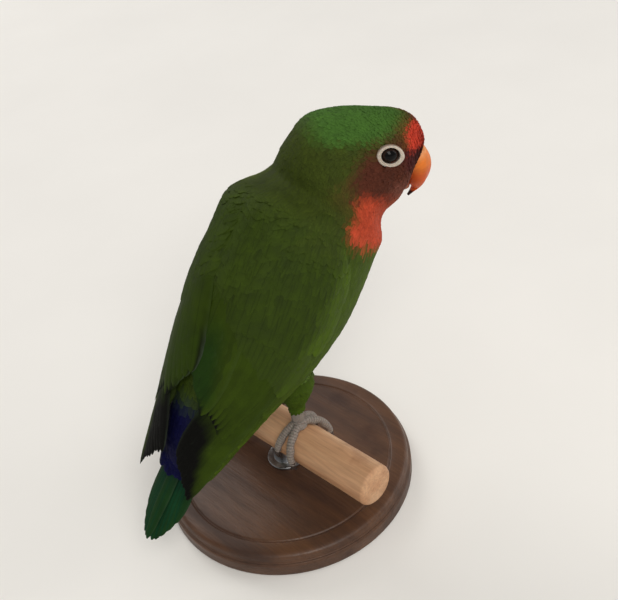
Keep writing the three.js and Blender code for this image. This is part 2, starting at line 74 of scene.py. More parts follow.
@dataclass(frozen=True)
class PitchedFrame:
    """Frame in the upright middle plane, its first axis pitched up from +X."""

    pitch: float
    origin: Triple

    @property
    def forward(self) -> Array:
        """The first axis."""
        return np.array([math.cos(self.pitch), 0.0, math.sin(self.pitch)])

    def points(self, along: Array, up: Array, y: Array) -> Array:
        """Points from places: along and up turned by the pitch about the origin.

        Args:
            along: Places on the first axis.
            up: Places on the axis square to it.
            y: Places aside.

        Returns:
            Points in the shared frame.
        """
        c, k = math.cos(self.pitch), math.sin(self.pitch)
        along, up, y = np.broadcast_arrays(along, up, y)
        x0, _, z0 = self.origin
        return np.stack([x0 + c * along - k * up, y, z0 + k * along + c * up], -1)

    def places(self, p: Array) -> tuple[Array, Array]:
        """Places along and up of points, turned back by the pitch.

        Args:
            p: Straight points, before the head's turn.

        Returns:
            Places on the two axes.
        """
        c, k = math.cos(self.pitch), math.sin(self.pitch)
        x, z = p[..., 0] - self.origin[0], p[..., 2] - self.origin[2]
        return c * x + k * z, c * z - k * x


# Posture, the same named sizes as the solids
TRUNK = PitchedFrame(math.radians(45.6), (-28.0, 0.0, 41.0))
HEAD = PitchedFrame(math.radians(6.0), (41.7, 0.0, 103.7))
HEAD_TURN = math.radians(-31.0)
TAIL_PITCH = math.radians(46.5)
NECK_X = 26.0
TURN_FROM = 64.0
TURN_TO = 90.0

# Sections of body and bill, fitted finer than the solids' own:
# frame, lower point, upper point, half width, share of the way up where it is widest
STATIONS = (
    (TRUNK, (-13, -2.2), (-13, 3.4), 5.6, 0.5),
    (TRUNK, (-7, -5.0), (-7, 6.6), 9.5, 0.5),
    (TRUNK, (2, -8.8), (2, 9.4), 12.4, 0.52),
    (TRUNK, (15, -15.2), (15, 12.5), 16.0, 0.52),
    (TRUNK, (30, -24.4), (30, 16), 19.7, 0.53),
    (TRUNK, (46, -31.7), (46, 18), 20.9, 0.54),
    (TRUNK, (60, -33.6), (59, 18), 20.4, 0.55),
    (TRUNK, (70, -33.4), (69, 17), 19.8, 0.55),
    (HEAD, (4.6, -28.8), (-22.5, 0.5), 18.2, 0.54),
    (HEAD, (6.8, -22.6), (-17.5, 6.8), 16.4, 0.52),
    (HEAD, (8.9, -18.6), (-10.2, 13.0), 15, 0.49),
    (HEAD, (10.7, -16), (-1.2, 12.7), 13.8, 0.47),
    (HEAD, (11.4, -14), (9.0, 9.0), 12.4, 0.47),
    (HEAD, (11.7, -12), (17.2, 3.9), 8.7, 0.54),
    (HEAD, (12.4, -9.9), (19.6, -3.3), 4.9, 0.5),
)
FACE = len(STATIONS) - 1.0  # last station
NAPE_STATION = 9.6
SHOULDER_STATION = 6.9
UPPER_BILL = (
    (HEAD, (8.2, -9.6), (13.4, -2.6), 6.0, 0.5),
    (HEAD, (10.8, -11.1), (18.2, -5.0), 6.6, 0.5),
    (HEAD, (11.8, -13.9), (19.8, -8.2), 6.3, 0.5),
    (HEAD, (12.2, -15.9), (20.1, -11.4), 5.4, 0.5),
    (HEAD, (12.9, -17.3), (18.9, -14.6), 4.1, 0.5),
    (HEAD, (13.4, -18.3), (16.8, -17.6), 2.5, 0.5),
    (HEAD, (12.8, -19.3), (14.4, -19.5), 1.3, 0.5),
    (HEAD, (11.5, -20.4), (11.9, -20.9), 0.4, 0.5),
)
LOWER_BILL = (
    (HEAD, (7.4, -16.1), (8.9, -10.7), 5.1, 0.5),
    (HEAD, (10, -16.8), (11.1, -11.7), 4.7, 0.45),
    (HEAD, (11.8, -16.9), (12.8, -13.2), 3.9, 0.4),
    (HEAD, (12.8, -16.4), (13.4, -15), 2.4, 0.4),
)
NOSTRIL = (17.6, -4.9, 3.3)
BROW_REACH = 1.3
THROAT_HOLLOW = 3.3

# Wing bed: place along the back, then middle, half depth and half width there
WING_BED = ((-18, 0.8, 7.5, 15.4), (-8, 1.2, 8.9, 15.9), (2, 0.3, 11.8, 16.8), (15, -2.5, 16.4, 19.4),
            (30, -4.6, 21.4, 21.7), (46, -5.7, 24.3, 22.1), (60, -6.4, 25.1, 21.5),
            (72, -6.8, 24.6, 20.6), (82, -7, 22, 18.5))
# Upper and lower border of the wing in shares of the half turn, and the thickness of its bed
WING_UPPER = ((-13, 0.9), (-4, 0.92), (5, 0.93), (15, 0.94), (45, 0.95), (60, 0.92), (70, 0.84),
              (77, 0.7))
WING_LOWER = ((-13, 0.74), (5, 0.7), (15, 0.62), (30, 0.52), (55, 0.465), (70, 0.49), (77, 0.56))
WING_CORE = ((-10, 0.35), (5, 0.45), (25, 0.6), (45, 1.2), (58, 2.2), (68, 2.5), (74, 1.9), (77, 0.9))

EYE_PLACE = (7.5, 1.5)
EYE_AIM = (0.03, 0.16, 1.0)
EYE_RADIUS = 3.0
EYE_DEPTH = 1.8
EYE_BARE = 3.1  # no feather is rooted nearer to the eye

PERCH_RADIUS = 6.5
PERCH_HALF = 40.0
PERCH_TOP = 28.0
PERCH_AXIS = PERCH_TOP - PERCH_RADIUS
BASE_RADIUS = 40.0
BASE_THICKNESS = 8.0
ROD_RADIUS = 4.0
LEG_SPREAD = 10.0
LEG_TOP = 49.0
ANKLE = 31.4
FOOT_GAP = 0.3  # clear space under the toes and at the ankle
TAIL_LENGTH = 35.5


class Side(Enum):
    """Left or right, by the sign of its places aside."""

    LEFT = 1.0
    RIGHT = -1.0

    @property
    def label(self) -> str:
        """Ending of the names of the side's pieces."""
        return self.name.lower()


class Tone(Enum):
    """Named colours of bird, perch and stand, in 0 to 255 display values."""

    CROWN = (63, 99, 36)
    NAPE = (56, 67, 18)
    BACK = (48, 63, 12)
    BREAST = (68, 90, 14)
    BELLY = (78, 102, 16)
    FACE = (78, 39, 26)
    HALO = (80, 68, 28)
    CHIN = (116, 66, 52)
    LORES = (72, 26, 26)
    FOREHEAD = (198, 62, 42)
    GLOW = (104, 74, 26)
    THROAT = (178, 68, 42)
    RUMP = (12, 13, 54)
    WING = (46, 61, 11)
    # Painted highlight: a pale yellow-green spot on the left shoulder
    SHOULDER_HIGHLIGHT = (150, 166, 60)
    FLIGHT = (10, 10, 8)
    TEAL = (28, 52, 14)
    TAIL = (17, 57, 34)
    EDGE = (84, 98, 80)
    PUPIL = (9, 8, 9)
    IRIS = (36, 22, 16)
    EYE_RIM = (10, 8, 7)
    LID = (96, 84, 76)
    RING = (196, 184, 170)
    RING_FOLD = (168, 152, 136)
    RING_EDGE = (132, 112, 96)
    CERE = (226, 160, 108)
    BILL = (214, 116, 42)
    BILL_LOW = (200, 84, 28)
    BILL_SIDE = (170, 64, 30)
    BILL_TIP = (46, 22, 16)
    NOSTRIL = (70, 36, 30)
    LOWER_BILL = (150, 84, 56)
    LOWER_TIP = (122, 56, 40)
    SHANK = (128, 118, 110)
    TOE = (132, 122, 114)
    CLAW = (66, 58, 54)
    PEELED = (206, 164, 126)
    PEELED_DARK = (176, 128, 92)
    STAINED = (92, 62, 42)
    STAINED_DARK = (62, 40, 28)
    KNOT = (150, 96, 66)
    STEEL_DARK = (150, 152, 155)
    STEEL = (186, 188, 190)
    FLOOR_DARK = (237, 235, 231)
    FLOOR = (240, 238, 234)

    @property
    def rgb(self) -> Array:
        """Linear colour: a straight part below 0.04 and a power of 2.4 above it."""
        c = np.array(self.value, float) / 255.0
        return np.where(c <= 0.04045, c / 12.92, ((c + 0.055) / 1.055) ** 2.4)


def smooth(x: Array, low: float, high: float) -> Array:
    """Smooth step from 0 at low to 1 at high: 3t squared less 2t cubed.

    Args:
        x: Values.
        low: Where the step starts.
        high: Where it ends.

    Returns:
        The step, of the shape of x.
    """
    t = np.clip((x - low) / (high - low), 0.0, 1.0)
    return t * t * (3.0 - 2.0 * t)


def bell(x: Array, width: float) -> Array:
    """Bell curve of height 1: e to the power of less the square of x over its width."""
    return np.exp(-((x / width) ** 2))


def unit(v: Array) -> Array:
    """Vectors of length 1 along the last axis."""
    return v / np.linalg.norm(v, axis=-1, keepdims=True)


def ring_angles(count: int) -> Array:
    """Evenly spread angles of one full ring."""
    return np.linspace(0, FULL, count, endpoint=False)


def mix(a: Array, b: Array, share: Array) -> Array:
    """Colour between two colours."""
    return a + (b - a) * share[..., None]


def layered(base: Array, *coats: tuple[Tone, Array]) -> Array:
    """Colour of a base with named tones laid over it in order, each by its share.

    Args:
        base: Colour or colours underneath.
        coats: Tones and the shares that they cover.

    Returns:
        The colours on top.
    """
    for tone, share in coats:
        base = mix(base, tone.rgb, share)
    return base


def spline(rows: Array, t: Array) -> Array:
    """Uniform cubic spline through rows of numbers.

    Each stretch blends the two rows at its ends and the two beyond them by the usual cubic with
    half the chord as the slope. Beyond the ends the first and last steps are repeated.

    Args:
        rows: Rows of numbers, one a station.
        t: Places, in stations.

    Returns:
        One row for each place.
    """
    last = len(rows) - 1
    s = np.clip(t, 0.0, last - 1e-9)
    i = np.floor(s).astype(int)
    f = (s - i)[..., None]
    ext = np.vstack([2 * rows[0] - rows[1], rows, 2 * rows[-1] - rows[-2]])
    a, b, c, d = ext[i], ext[i + 1], ext[i + 2], ext[i + 3]
    cubic = (3 * b - a - 3 * c + d) * f**3
    return 0.5 * (2 * b + (c - a) * f + (2 * a - 5 * b + 4 * c - d) * f**2 + cubic)


def eased(table: tuple[tuple[float, ...], ...], x: Array, column: int = 1, ease: float = 5.0) -> Array:
    """Value from a table of places, with its corners rounded.

    Args:
        table: Rows of place and values.
        x: Places.
        column: Which value.
        ease: Reach of the rounding in millimetres.

    Returns:
        The mean of five straight interpolations spread over the reach.
    """
    places = [row[0] for row in table]
    values = [row[column] for row in table]
    steps = np.linspace(-ease, ease, 5)
    return sum(np.interp(x + step, places, values) for step in steps) / len(steps)


def turned(p: Array) -> Array:
    """Points after the head's turn about an upright line, which grows along the neck.

    Args:
        p: Straight points.

    Returns:
        The points turned by a smooth share of the head's turn.
    """
    s, _ = TRUNK.places(p)
    a = HEAD_TURN * smooth(s, TURN_FROM, TURN_TO)
    x, y = p[..., 0] - NECK_X, p[..., 1]
    return np.stack([NECK_X + np.cos(a) * x - np.sin(a) * y, np.sin(a) * x + np.cos(a) * y, p[..., 2]], -1)


def section_rows(stations: tuple[tuple, ...]) -> Array:
    """Section rows in the shared upright plane.

    Args:
        stations: Frame, lower and upper point, half width and widest share of each section.

    Returns:
        Lower and upper point, half width and widest share, one row a section.
    """
    rows = []
    for place, low, high, width, widest in stations:
        v, d = place.points(*low, 0.0), place.points(*high, 0.0)
        rows.append([v[0], v[2], d[0], d[2], width, widest])
    return np.array(rows, float)


def section(rows: Array, angle: Array, grow: Array) -> Array:
    """Points on sections given by lower and upper point, half width and widest share.

    The share of the way up is m(1 - cos) below the widest place and m - (1 - m)cos above it, and
    the sideways reach is the half width times the sine.

    Args:
        rows: Section rows for each point.
        angle: 0 at the lower point, a half turn at the upper, over the left side.
        grow: How far outside the section the point lies.

    Returns:
        Straight points, before the head's turn.
    """
    c = np.cos(angle)
    m = rows[..., 5]
    share = np.where(c > 0, m * (1 - c), m - (1 - m) * c)
    ex, ez = rows[..., 2] - rows[..., 0], rows[..., 3] - rows[..., 1]
    long = np.hypot(ex, ez)
    reach = share * (long + 2 * grow) - grow
    return np.stack([
        rows[..., 0] + ex / long * reach,
        (rows[..., 4] + grow) * np.sin(angle),
        rows[..., 1] + ez / long * reach,
    ], -1)


def brow(p: Array) -> Array:
    """Straight points with the forehead and bill carried forward past the eye.

    Args:
        p: Straight points.

    Returns:
        The points, up to the brow's reach further along the head's forward line above the chin.
    """
    f, up = HEAD.places(p)
    return p + (BROW_REACH * smooth(f, 7, 15) * smooth(up, -15, -9))[..., None] * HEAD.forward


def wing_share(angle: Array) -> Array:
    """Share of the half turn from belly (0) to back (1) of a body angle on either side."""
    half = np.mod(angle, FULL) / math.pi
    return np.where(half > 1, 2 - half, half)


def mantle_rise(u: Array, angle: Array) -> Array:
    """Height of the coat over the body's own outline where it lies over the folded wings.

    It grows past the neck, is highest along the wings' upper borders, dips between them and
    fades towards the rump.

    Args:
        u: Stations.
        angle: Body angles.

    Returns:
        Heights in millimetres.
    """
    share = wing_share(angle)
    along = smooth(u, 3.9, 5.2) * (1 - smooth(u, 6.6, 8.3))
    return along * (2.3 * smooth(share, 0.7, 0.86) - 0.9 * smooth(share, 0.92, 1.0))


def inside(share: Array) -> Array:
    """Unwrapped share kept a little inside the sheet's edges."""
    return np.clip(share, 0.004, 0.996)


@dataclass
class BodySurface:
    """Surface of the body from the tail root to the face, by station and angle.

    Its height counts outward from the true outline of the coat.
    """

    rows: Array = field(default_factory=lambda: section_rows(STATIONS))
    bake_low: float = 0.0
    bake_high: float = FACE

    def straight(self, u: Array, angle: Array, height: Array = 0.0) -> Array:
        """Straight points, before the head's turn, where the markings are told.

        Args:
            u: Stations.
            angle: Body angles.
            height: Heights, less a hollow at the throat.

        Returns:
            Points on the sections, with the brow carried forward.
        """
        u, angle, height = np.broadcast_arrays(u, angle, np.asarray(height, float))
        below = 1 - smooth(wing_share(angle), 0.26, 0.46)
        hollow = smooth(u, 7.2, 8.3) * (1 - smooth(u, 8.2, 10.6)) * below
        p = section(spline(self.rows, u), angle, height - THROAT_HOLLOW * hollow)
        p[..., 0] += height * smooth(u, FACE - 3, FACE)
        return brow(p)

    def point(self, u: Array, angle: Array, height: Array = 0.0) -> Array:
        """Points at stations, angles and heights."""
        return turned(self.straight(u, angle, height))

    def bake(self, u: Array, angle: Array) -> Array:
        """Unwrapped places of points, by station and angle."""
        across = (u - self.bake_low) / (self.bake_high - self.bake_low)
        return np.stack([inside(across), np.mod(angle / FULL, 1.0)], -1)


@dataclass
class WingSurface:
    """Bed that a folded wing lies on, by place along the back and share of the half turn."""

    side: Side

    def point(self, s: Array, share: Array, height: Array = 0.0) -> Array:
        """Points on the bed: an ellipse round the body, drawn in along its lower border.

        Args:
            s: Places along the back.
            share: Shares of the half turn.
            height: Heights over the bed.

        Returns:
            Points in the shared frame.
        """
        angle = share * math.pi
        border = 1 - smooth(share - eased(WING_LOWER, s), -0.02, 0.11)
        height = height - 1.5 * border * smooth(s, 6, 18)
        n = eased(WING_BED, s, 1) - (eased(WING_BED, s, 2) + height) * np.cos(angle)
        y = self.side.value * (eased(WING_BED, s, 3) + height) * np.sin(angle)
        return TRUNK.points(s, n, y)

    def bake(self, s: Array, share: Array) -> Array:
        """Unwrapped places of points on the bed."""
        return np.stack([inside((s + 20) / 105), inside(share * 1.6 - 0.6)], -1)


@dataclass
class TailSurface:
    """Gently arched sheet that the tail feathers lie in, by length from the root and aside."""

    lean: float = 1.6
    root: Pair = (3.0, 4.4)
    arch: float = 0.018
    taper: float = 0.0035

    def point(self, along: Array, aside: Array, height: Array = 0.0) -> Array:
        """Points: back along the tail's pitch, aside, and up less a share of aside squared.

        Args:
            along: Lengths from the root.
            aside: Places aside.
            height: Heights over the sheet.

        Returns:
            Points in the shared frame.
        """
        c, k = math.cos(TAIL_PITCH), math.sin(TAIL_PITCH)
        along, aside, height = np.broadcast_arrays(along, aside, np.asarray(height, float))
        rise = height - self.arch * aside * aside
        p = TRUNK.points(*self.root, 0.0) + along[..., None] * np.array([-c, 0.0, -k])
        p = p + rise[..., None] * np.array([-k, 0.0, c])
        swing = self.lean * smooth(along, 0, TAIL_LENGTH)
        p[..., 1] = aside * (1 - self.taper * np.clip(along, 0, 40)) + swing
        return p

    def bake(self, along: Array, aside: Array) -> Array:
        """Unwrapped places of points on the sheet."""
        return np.stack([inside((along + 8) / 50), inside(aside / 26 + 0.5)], -1)


@dataclass
class LegSurface:
    """Feathered thigh and shank of one leg, by share of its length and angle round it."""

    side: Side
    radii: tuple[float, ...] = (6.4, 6.2, 5.4, 4.0, 2.4, 2.05, 1.95)

    def point(self, along: Array, angle: Array, height: Array = 0.0) -> Array:
        """Points round a bent middle line that runs from the belly down to the ankle.

        Args:
            along: Shares of the length.
            angle: Angles round it.
            height: Heights over the radius.

        Returns:
            Points in the shared frame.
        """
        along, angle, height = np.broadcast_arrays(along, angle, np.asarray(height, float))
        x = np.interp(along, (0.0, 0.6, 1.0), (1.5, 0.8, 0.0))
        z = LEG_TOP + (ANKLE + FOOT_GAP - LEG_TOP) * along
        radius = np.interp(along, np.linspace(0, 1, len(self.radii)), self.radii) + height
        y = self.side.value * LEG_SPREAD + radius * np.sin(angle)
        return np.stack([x + radius * np.cos(angle), y, z], -1)

    def bake(self, along: Array, angle: Array) -> Array:
        """Unwrapped places of points round the leg."""
        return np.stack([inside(along), np.mod(angle / FULL, 1.0)], -1)


Surface = BodySurface | WingSurface | TailSurface | LegSurface


@dataclass(frozen=True)
class Markings:
    """Markings of the coat, told by place on the straight bird, the same for skin and coat.

    Lengths are millimetres in the trunk's and the head's frames. The face is an oval given by its
    middle and half sizes, and the forehead's red reaches forward of a bowed line.
    """

    ragged: float = 0.35
    face: tuple[float, float, float, float] = (4.6, -4.6, 11.6, 10.6)
    bib_top: float = 87.8
    red_from: float = 13.3
    red_bow: Pair = (5.7, 5.2)
    red_top: Pair = (3.7, 5.1)

    def trunk(self, s: Array, share: Array) -> Array:
        """Greens of back, breast and belly, and the blue rump.

        Args:
            s: Places along the back.
            share: Shares of the half turn.

        Returns:
            Linear colours.
        """
        belly = (1 - smooth(s, 5, 45)) * (1 - smooth(share, 0.2, 0.5))
        return layered(
            Tone.BREAST.rgb,
            (Tone.BACK, smooth(share, 0.22, 0.62)),
            (Tone.BELLY, belly),
            (Tone.RUMP, (1 - smooth(s, 9, 18)) * smooth(share, 0.62, 0.76)),
            (Tone.NAPE, smooth(s, 66, 80) * smooth(share, 0.3, 0.5)),
        )

    def mask(self, s: Array, f: Array, up: Array) -> list[tuple[Tone, Array]]:
        """Crown, the dark face with its olive surround, and the paler chin.

        Args:
            s: Places along the back.
            f: Places forward in the head.
            up: Places up in the head.

        Returns:
            Tones and their shares, in order.
        """
        crown_edge = 7.4 - 0.3 * np.clip(f, -8, 9.5)
        middle, level, long, high = self.face
        tall = (up - level) / high
        oval = np.where(f > middle, np.abs(tall), np.hypot((f - middle) / long, tall))
        halo = (1 - smooth(oval, 0.9, 1.8)) * smooth(-up, -3, 2) * smooth(s, 74, 82)
        chin = smooth(-up, 5.5, 9) * smooth(f, 3.5, 8) * (1 - smooth(f, 11, 14))
        return [
            (Tone.CROWN, smooth(f, -14.5, -5.5) * smooth(up - crown_edge, -1.6, 1.5)),
            (Tone.HALO, 0.75 * halo),
            (Tone.FACE, (1 - smooth(oval, 0.62, 1.16)) * smooth(s, 83, 88)),
            (Tone.CHIN, 0.8 * chin),
        ]

    def front(self, f: Array, up: Array, y: Array) -> tuple[Array, Array, Array]:
        """Shares of the dark lores, the olive glow and the red of the forehead.

        Args:
            f: Places forward in the head.
            up: Places up in the head.
            y: Distances from the middle plane.

        Returns:
            The three shares.
        """
        lores = smooth(f, 9.5, 12.5) * (1 - smooth(np.abs(up + 2.2), 2.2, 4.6))
        line = self.red_from + self.red_bow[0] * bell(y, self.red_bow[1])
        low = 0.5 * np.maximum(y - 5.0, 0.0) - 3.4
        red = smooth(f, line - 0.9, line + 1.5) * smooth(up, low - 0.9, low + 0.9)
        glow = smooth(f, line - 4.0, line + 0.2) * smooth(up, low, low + 2.5)
        return 0.85 * lores, 0.5 * glow, red * (1 - smooth(up, *self.red_top))

    def body(self, surface: BodySurface, u: Array, angle: Array, rng: Rng) -> Array:
        """Colours of places on the body.

        Args:
            surface: The body surface.
            u: Stations.
            angle: Body angles.
            rng: Source of the small shifts that ragged the borders.

        Returns:
            Linear colours.
        """
        p = surface.straight(u, angle)
        p = p + rng.normal(0, self.ragged, p.shape)
        s, n = TRUNK.places(p)
        f, up = HEAD.places(p)
        share = wing_share(angle)
        top = self.bib_top + 0.23 * (-n - 6.6)
        bib = smooth(s, 71, 76) * (1 - smooth(s, top - 3.2, top + 2.4)) * smooth(-n, 4.8, 9.6)
        bib = bib * (1 - 0.55 * smooth(s - top, -7, 0) * smooth(-n, 12, 20))
        lores, glow, red = self.front(f, up, np.abs(p[..., 1]))
        # Painted highlight: a small pale spot on the left shoulder only
        shoulder_highlight = bell(s - 76.2, 2.6) * bell(share - 0.76, 0.055) * (p[..., 1] > 0)
        return layered(
            self.trunk(s, share), *self.mask(s, f, up), (Tone.THROAT, bib), (Tone.LORES, lores),
            (Tone.GLOW, glow), (Tone.SHOULDER_HIGHLIGHT, 0.8 * shoulder_highlight), (Tone.FOREHEAD, red),
        )


MARKINGS = Markings()


@dataclass(frozen=True)
class VaneShape:
    """Form of one vane: places along it, half widths there, columns across, camber, thickness."""

    rows: tuple[float, ...]
    widths: tuple[float, ...]
    columns: int = 3
    camber: float = 0.16
    thickness: float = 0.16
    ragged: float = 0.0

    @property
    def ring(self) -> tuple[Array, Array]:
        """Places across and top flags of one closed ring: over the top, back underneath.

        Returns:
            The piece.
        """
        x = np.linspace(-1, 1, self.columns)
        top = np.concatenate([np.ones(self.columns), -np.ones(self.columns - 2)])
        return np.concatenate([x, x[-2:0:-1]]), top

    def faces(self) -> Array:
        """Four-cornered faces of one vane, closed at root and tip by strips.

        Returns:
            Four corners a face.
        """
        m = 2 * self.columns - 2
        quads = []
        for i in range(len(self.rows) - 1):
            for j in range(m):
                k = (j + 1) % m
                quads.append([i * m + j, i * m + k, (i + 1) * m + k, (i + 1) * m + j])
        for row, back in ((0, True), (len(self.rows) - 1, False)):
            for j in range(self.columns - 1):
                under = [(m - j) % m, (m - j - 1) % m]
                quad = [row * m + under[0], row * m + under[1], row * m + j + 1, row * m + j]
                quads.append(quad[::-1] if back else quad)
        return np.array(quads)


SMALL = VaneShape((0.0, 0.4, 0.78, 1.0), (0.55, 1.0, 0.8, 0.2), camber=0.2, thickness=0.12, ragged=0.16)
BODY = VaneShape((0.0, 0.35, 0.65, 0.86, 1.0), (0.5, 0.95, 1.0, 0.72, 0.2), ragged=0.14)
COVERT = VaneShape((0.0, 0.25, 0.5, 0.72, 0.88, 0.96, 1.0), (0.5, 0.85, 1.0, 0.98, 0.74, 0.45, 0.12),
                   columns=5, camber=0.1, thickness=0.2, ragged=0.04)
FLIGHT = VaneShape((0.0, 0.12, 0.28, 0.45, 0.6, 0.74, 0.85, 0.92, 0.97, 1.0),
                   (0.35, 0.7, 0.9, 1.0, 1.0, 0.95, 0.82, 0.62, 0.4, 0.1),
                   columns=7, camber=0.06, thickness=0.3, ragged=0.03)


@dataclass
class Batch:
    """Vanes ready to be joined into one mesh: points, faces, colours and two maps."""

    points: Array
    faces: Array
    colors: Array
    vane_uv: Array
    bake_uv: Array
    border: Array


def join_batches(batches: list[Batch]) -> Batch:
    """One batch out of several, with faces renumbered.

    Args:
        batches: Batches in order.

    Returns:
        The joined batch.
    """
    starts = np.cumsum([0] + [len(b.points) for b in batches[:-1]])
    joined = {f.name: [getattr(b, f.name) for b in batches] for f in fields(Batch)}
    joined["faces"] = [b.faces + k for b, k in zip(batches, starts)]
    return Batch(**{name: np.concatenate(parts) for name, parts in joined.items()})


def per_vane(value: Array | float) -> Array:
    """One value or one for each vane, shaped to spread over rows and columns."""
    return np.asarray(value, float).reshape(-1, 1, 1)


@dataclass
class VaneLayer:
    """Many vanes of one shape laid over a surface.

    Each runs from a root to a tip, both given as places (a, b) on the surface. Its middle line is
    straight between them, and its width is laid off square to it by the surface's own scale at
    each row, so the vane follows the surface. Heights go from the root's to the tip's.
    """

    surface: Surface
    shape: VaneShape
    root: Array
    tip: Array
    half_width: Array
    root_height: Array
    tip_height: Array
    tilt: Array | float = 0.0
    under: bool = False
    patch: float = 0.003
    sheet: Pair | None = None
    # Painted shade: each vane is darker at its root, where the next feathers cover it, and lighter towards
    # its exposed tip; it is also a little darker along the shaft
    root_shade: float = 0.8
    tip_gain: float = 0.3
    shaft_shade: float = 0.08
    differ: float = 0.06

    def scale(self, a: Array, b: Array) -> tuple[Array, Array]:
        """Millimetres in one unit of each surface parameter, by central differences.

        Args:
            a: First surface places.
            b: Second surface places.

        Returns:
            The two scales.
        """
        e, at = 1e-3, self.surface.point
        along = np.linalg.norm(at(a + e, b) - at(a - e, b), axis=-1) / (2 * e)
        aside = np.linalg.norm(at(a, b + e) - at(a, b - e), axis=-1) / (2 * e)
        return np.maximum(along, 0.5), np.maximum(aside, 0.5)

    def build(self, colors: Array, rng: Rng,
              paint: Callable[[Array, Array, Array, Array], Array] | None = None) -> Batch:
        """Mesh arrays of the layer.

        Args:
            colors: Base colour of each vane.
            rng: Source of small differences between vanes.
            paint: Colours from the two surface places, the share along and the place across.

        Returns:
            The batch.
        """
        t = np.array(self.shape.rows)[None, :, None]
        w = np.array(self.shape.widths)[None, :, None]
        x, top = (v[None, None, :] for v in self.shape.ring)
        count = len(self.root)
        wide = per_vane(self.half_width) * np.ones((count, 1, 1))
        a0, b0 = self.root[:, 0, None, None], self.root[:, 1, None, None]
        a1, b1 = self.tip[:, 0, None, None], self.tip[:, 1, None, None]
        a, b = a0 + (a1 - a0) * t, b0 + (b1 - b0) * t
        ga, gb = self.scale(a[..., 0], b[..., 0])
        ga, gb = ga[..., None], gb[..., None]
        ta, tb = (a1 - a0) * ga, (b1 - b0) * gb
        run = np.sqrt(ta**2 + tb**2) + 1e-9
        ta, tb = ta / run, tb / run
        rag = 1 + self.shape.ragged * rng.normal(0, 1, (count, t.shape[1], x.shape[2])) * (t > 0.3)
        across = x * w * wide * rag
        aa = a + tb * across / ga
        bb = b - ta * across / gb
        h0, h1 = per_vane(self.root_height), per_vane(self.tip_height)
        height = h0 + (h1 - h0) * t + per_vane(self.tilt) * x * w
        height = height + self.shape.camber * wide * w * (1 - x * x)
        height = height + top * 0.5 * self.shape.thickness * (1 - x * x) * np.sqrt(np.maximum(w, 0.05))
        height = np.broadcast_to(height, aa.shape)
        points = self.surface.point(aa, bb, -height if self.under else height)
        vary = 1 + rng.normal(0, self.differ, (count, 1, 1))
        if paint is None:
            # Painted shade: darker at the root under the next feathers, lighter towards the tip
            lift = self.root_shade + self.tip_gain * t - self.shaft_shade * (1 - np.abs(x)) + 0 * x
            web = colors[:, None, None, :] * (lift * vary)[..., None]
        else:
            web = paint(aa, bb, *(np.broadcast_to(v, aa.shape) for v in (t, x))) * vary[..., None]
        if self.sheet is None:
            bake = self.surface.bake(a0, b0) + np.stack(np.broadcast_arrays(
                (t - 0.5) * self.patch, 0.5 * x * self.patch), -1)
        else:
            first, last = self.sheet
            column = (np.arange(count)[:, None, None] + 0.5 + 0.44 * x) / count
            bake = np.stack(np.broadcast_arrays(first + (last - first) * column, 0.02 + 0.96 * t), -1)
        vane = np.stack(np.broadcast_arrays(0.5 + 0.5 * x, t * run * 0.1 + 0 * x), -1)
        per = t.shape[1] * x.shape[2]
        faces = self.shape.faces()[None] + per * np.arange(count)[:, None, None]
        if self.under:
            faces = faces[..., ::-1]
        edge = np.broadcast_to((np.abs(x) > 0.999) | (t > 0.999) | (t < 0.001), aa.shape)
        return Batch(
            points.reshape(-1, 3), faces.reshape(-1, 4), web.reshape(-1, 3),
            np.broadcast_to(vane, aa.shape + (2,)).reshape(-1, 2),
            np.broadcast_to(bake, aa.shape + (2,)).reshape(-1, 2), edge.reshape(-1),
        )


def put_mesh(name: str, points: Array, groups: list[Array]) -> Object:
    """New object from points in millimetres and groups of faces of equal corner count.

    Args:
        name: Object name.
        points: Points in millimetres.
        groups: Face arrays, each of one corner count.

    Returns:
        The object, at the origin.
    """
    mesh = bpy.data.meshes.new(name)
    mesh.vertices.add(len(points))
    mesh.vertices.foreach_set("co", (np.asarray(points) * MM).astype(np.float32).ravel())
    corners = np.concatenate([g.reshape(-1) for g in groups]).astype(np.int32)
    totals = np.concatenate([np.full(len(g), g.shape[1]) for g in groups]).astype(np.int32)
    starts = np.concatenate([[0], np.cumsum(totals)[:-1]]).astype(np.int32)
    mesh.loops.add(len(corners))
    mesh.loops.foreach_set("vertex_index", corners)
    mesh.polygons.add(len(totals))
    mesh.polygons.foreach_set("loop_start", starts)
    mesh.polygons.foreach_set("use_smooth", np.ones(len(totals), bool))
    mesh.update(calc_edges=True)
    mesh.validate()
    obj = bpy.data.objects.new(name, mesh)
    bpy.context.scene.collection.objects.link(obj)
    return obj


def corner_values(obj: Object, values: Array) -> Array:
    """Values at face corners from values at points.

    Args:
        obj: The piece.
        values: Values, one a point.

    Returns:
        Values, one a corner.
    """
    mesh = obj.data
    index = np.empty(len(mesh.loops), np.int32)
    mesh.loops.foreach_get("vertex_index", index)
    return values[index]


def put_map(obj: Object, name: str, corners: Array) -> None:
    """Adds a UV map with the given corner values."""
    layer = obj.data.uv_layers.new(name=name)
    layer.data.foreach_set("uv", corners.astype(np.float32).ravel())


def put_color(obj: Object, colors: Array) -> None:
    """Adds the painted colours, a linear colour for each point or one for all.

    Args:
        obj: The piece.
        colors: Linear colours.
    """
    colors = np.broadcast_to(colors, (len(obj.data.vertices), 3))
    attribute = obj.data.color_attributes.new(PAINT, "FLOAT_COLOR", "POINT")
    rgba = np.concatenate([np.clip(colors, 0, 1), np.ones((len(colors), 1))], 1)
    attribute.data.foreach_set("color", rgba.astype(np.float32).ravel())


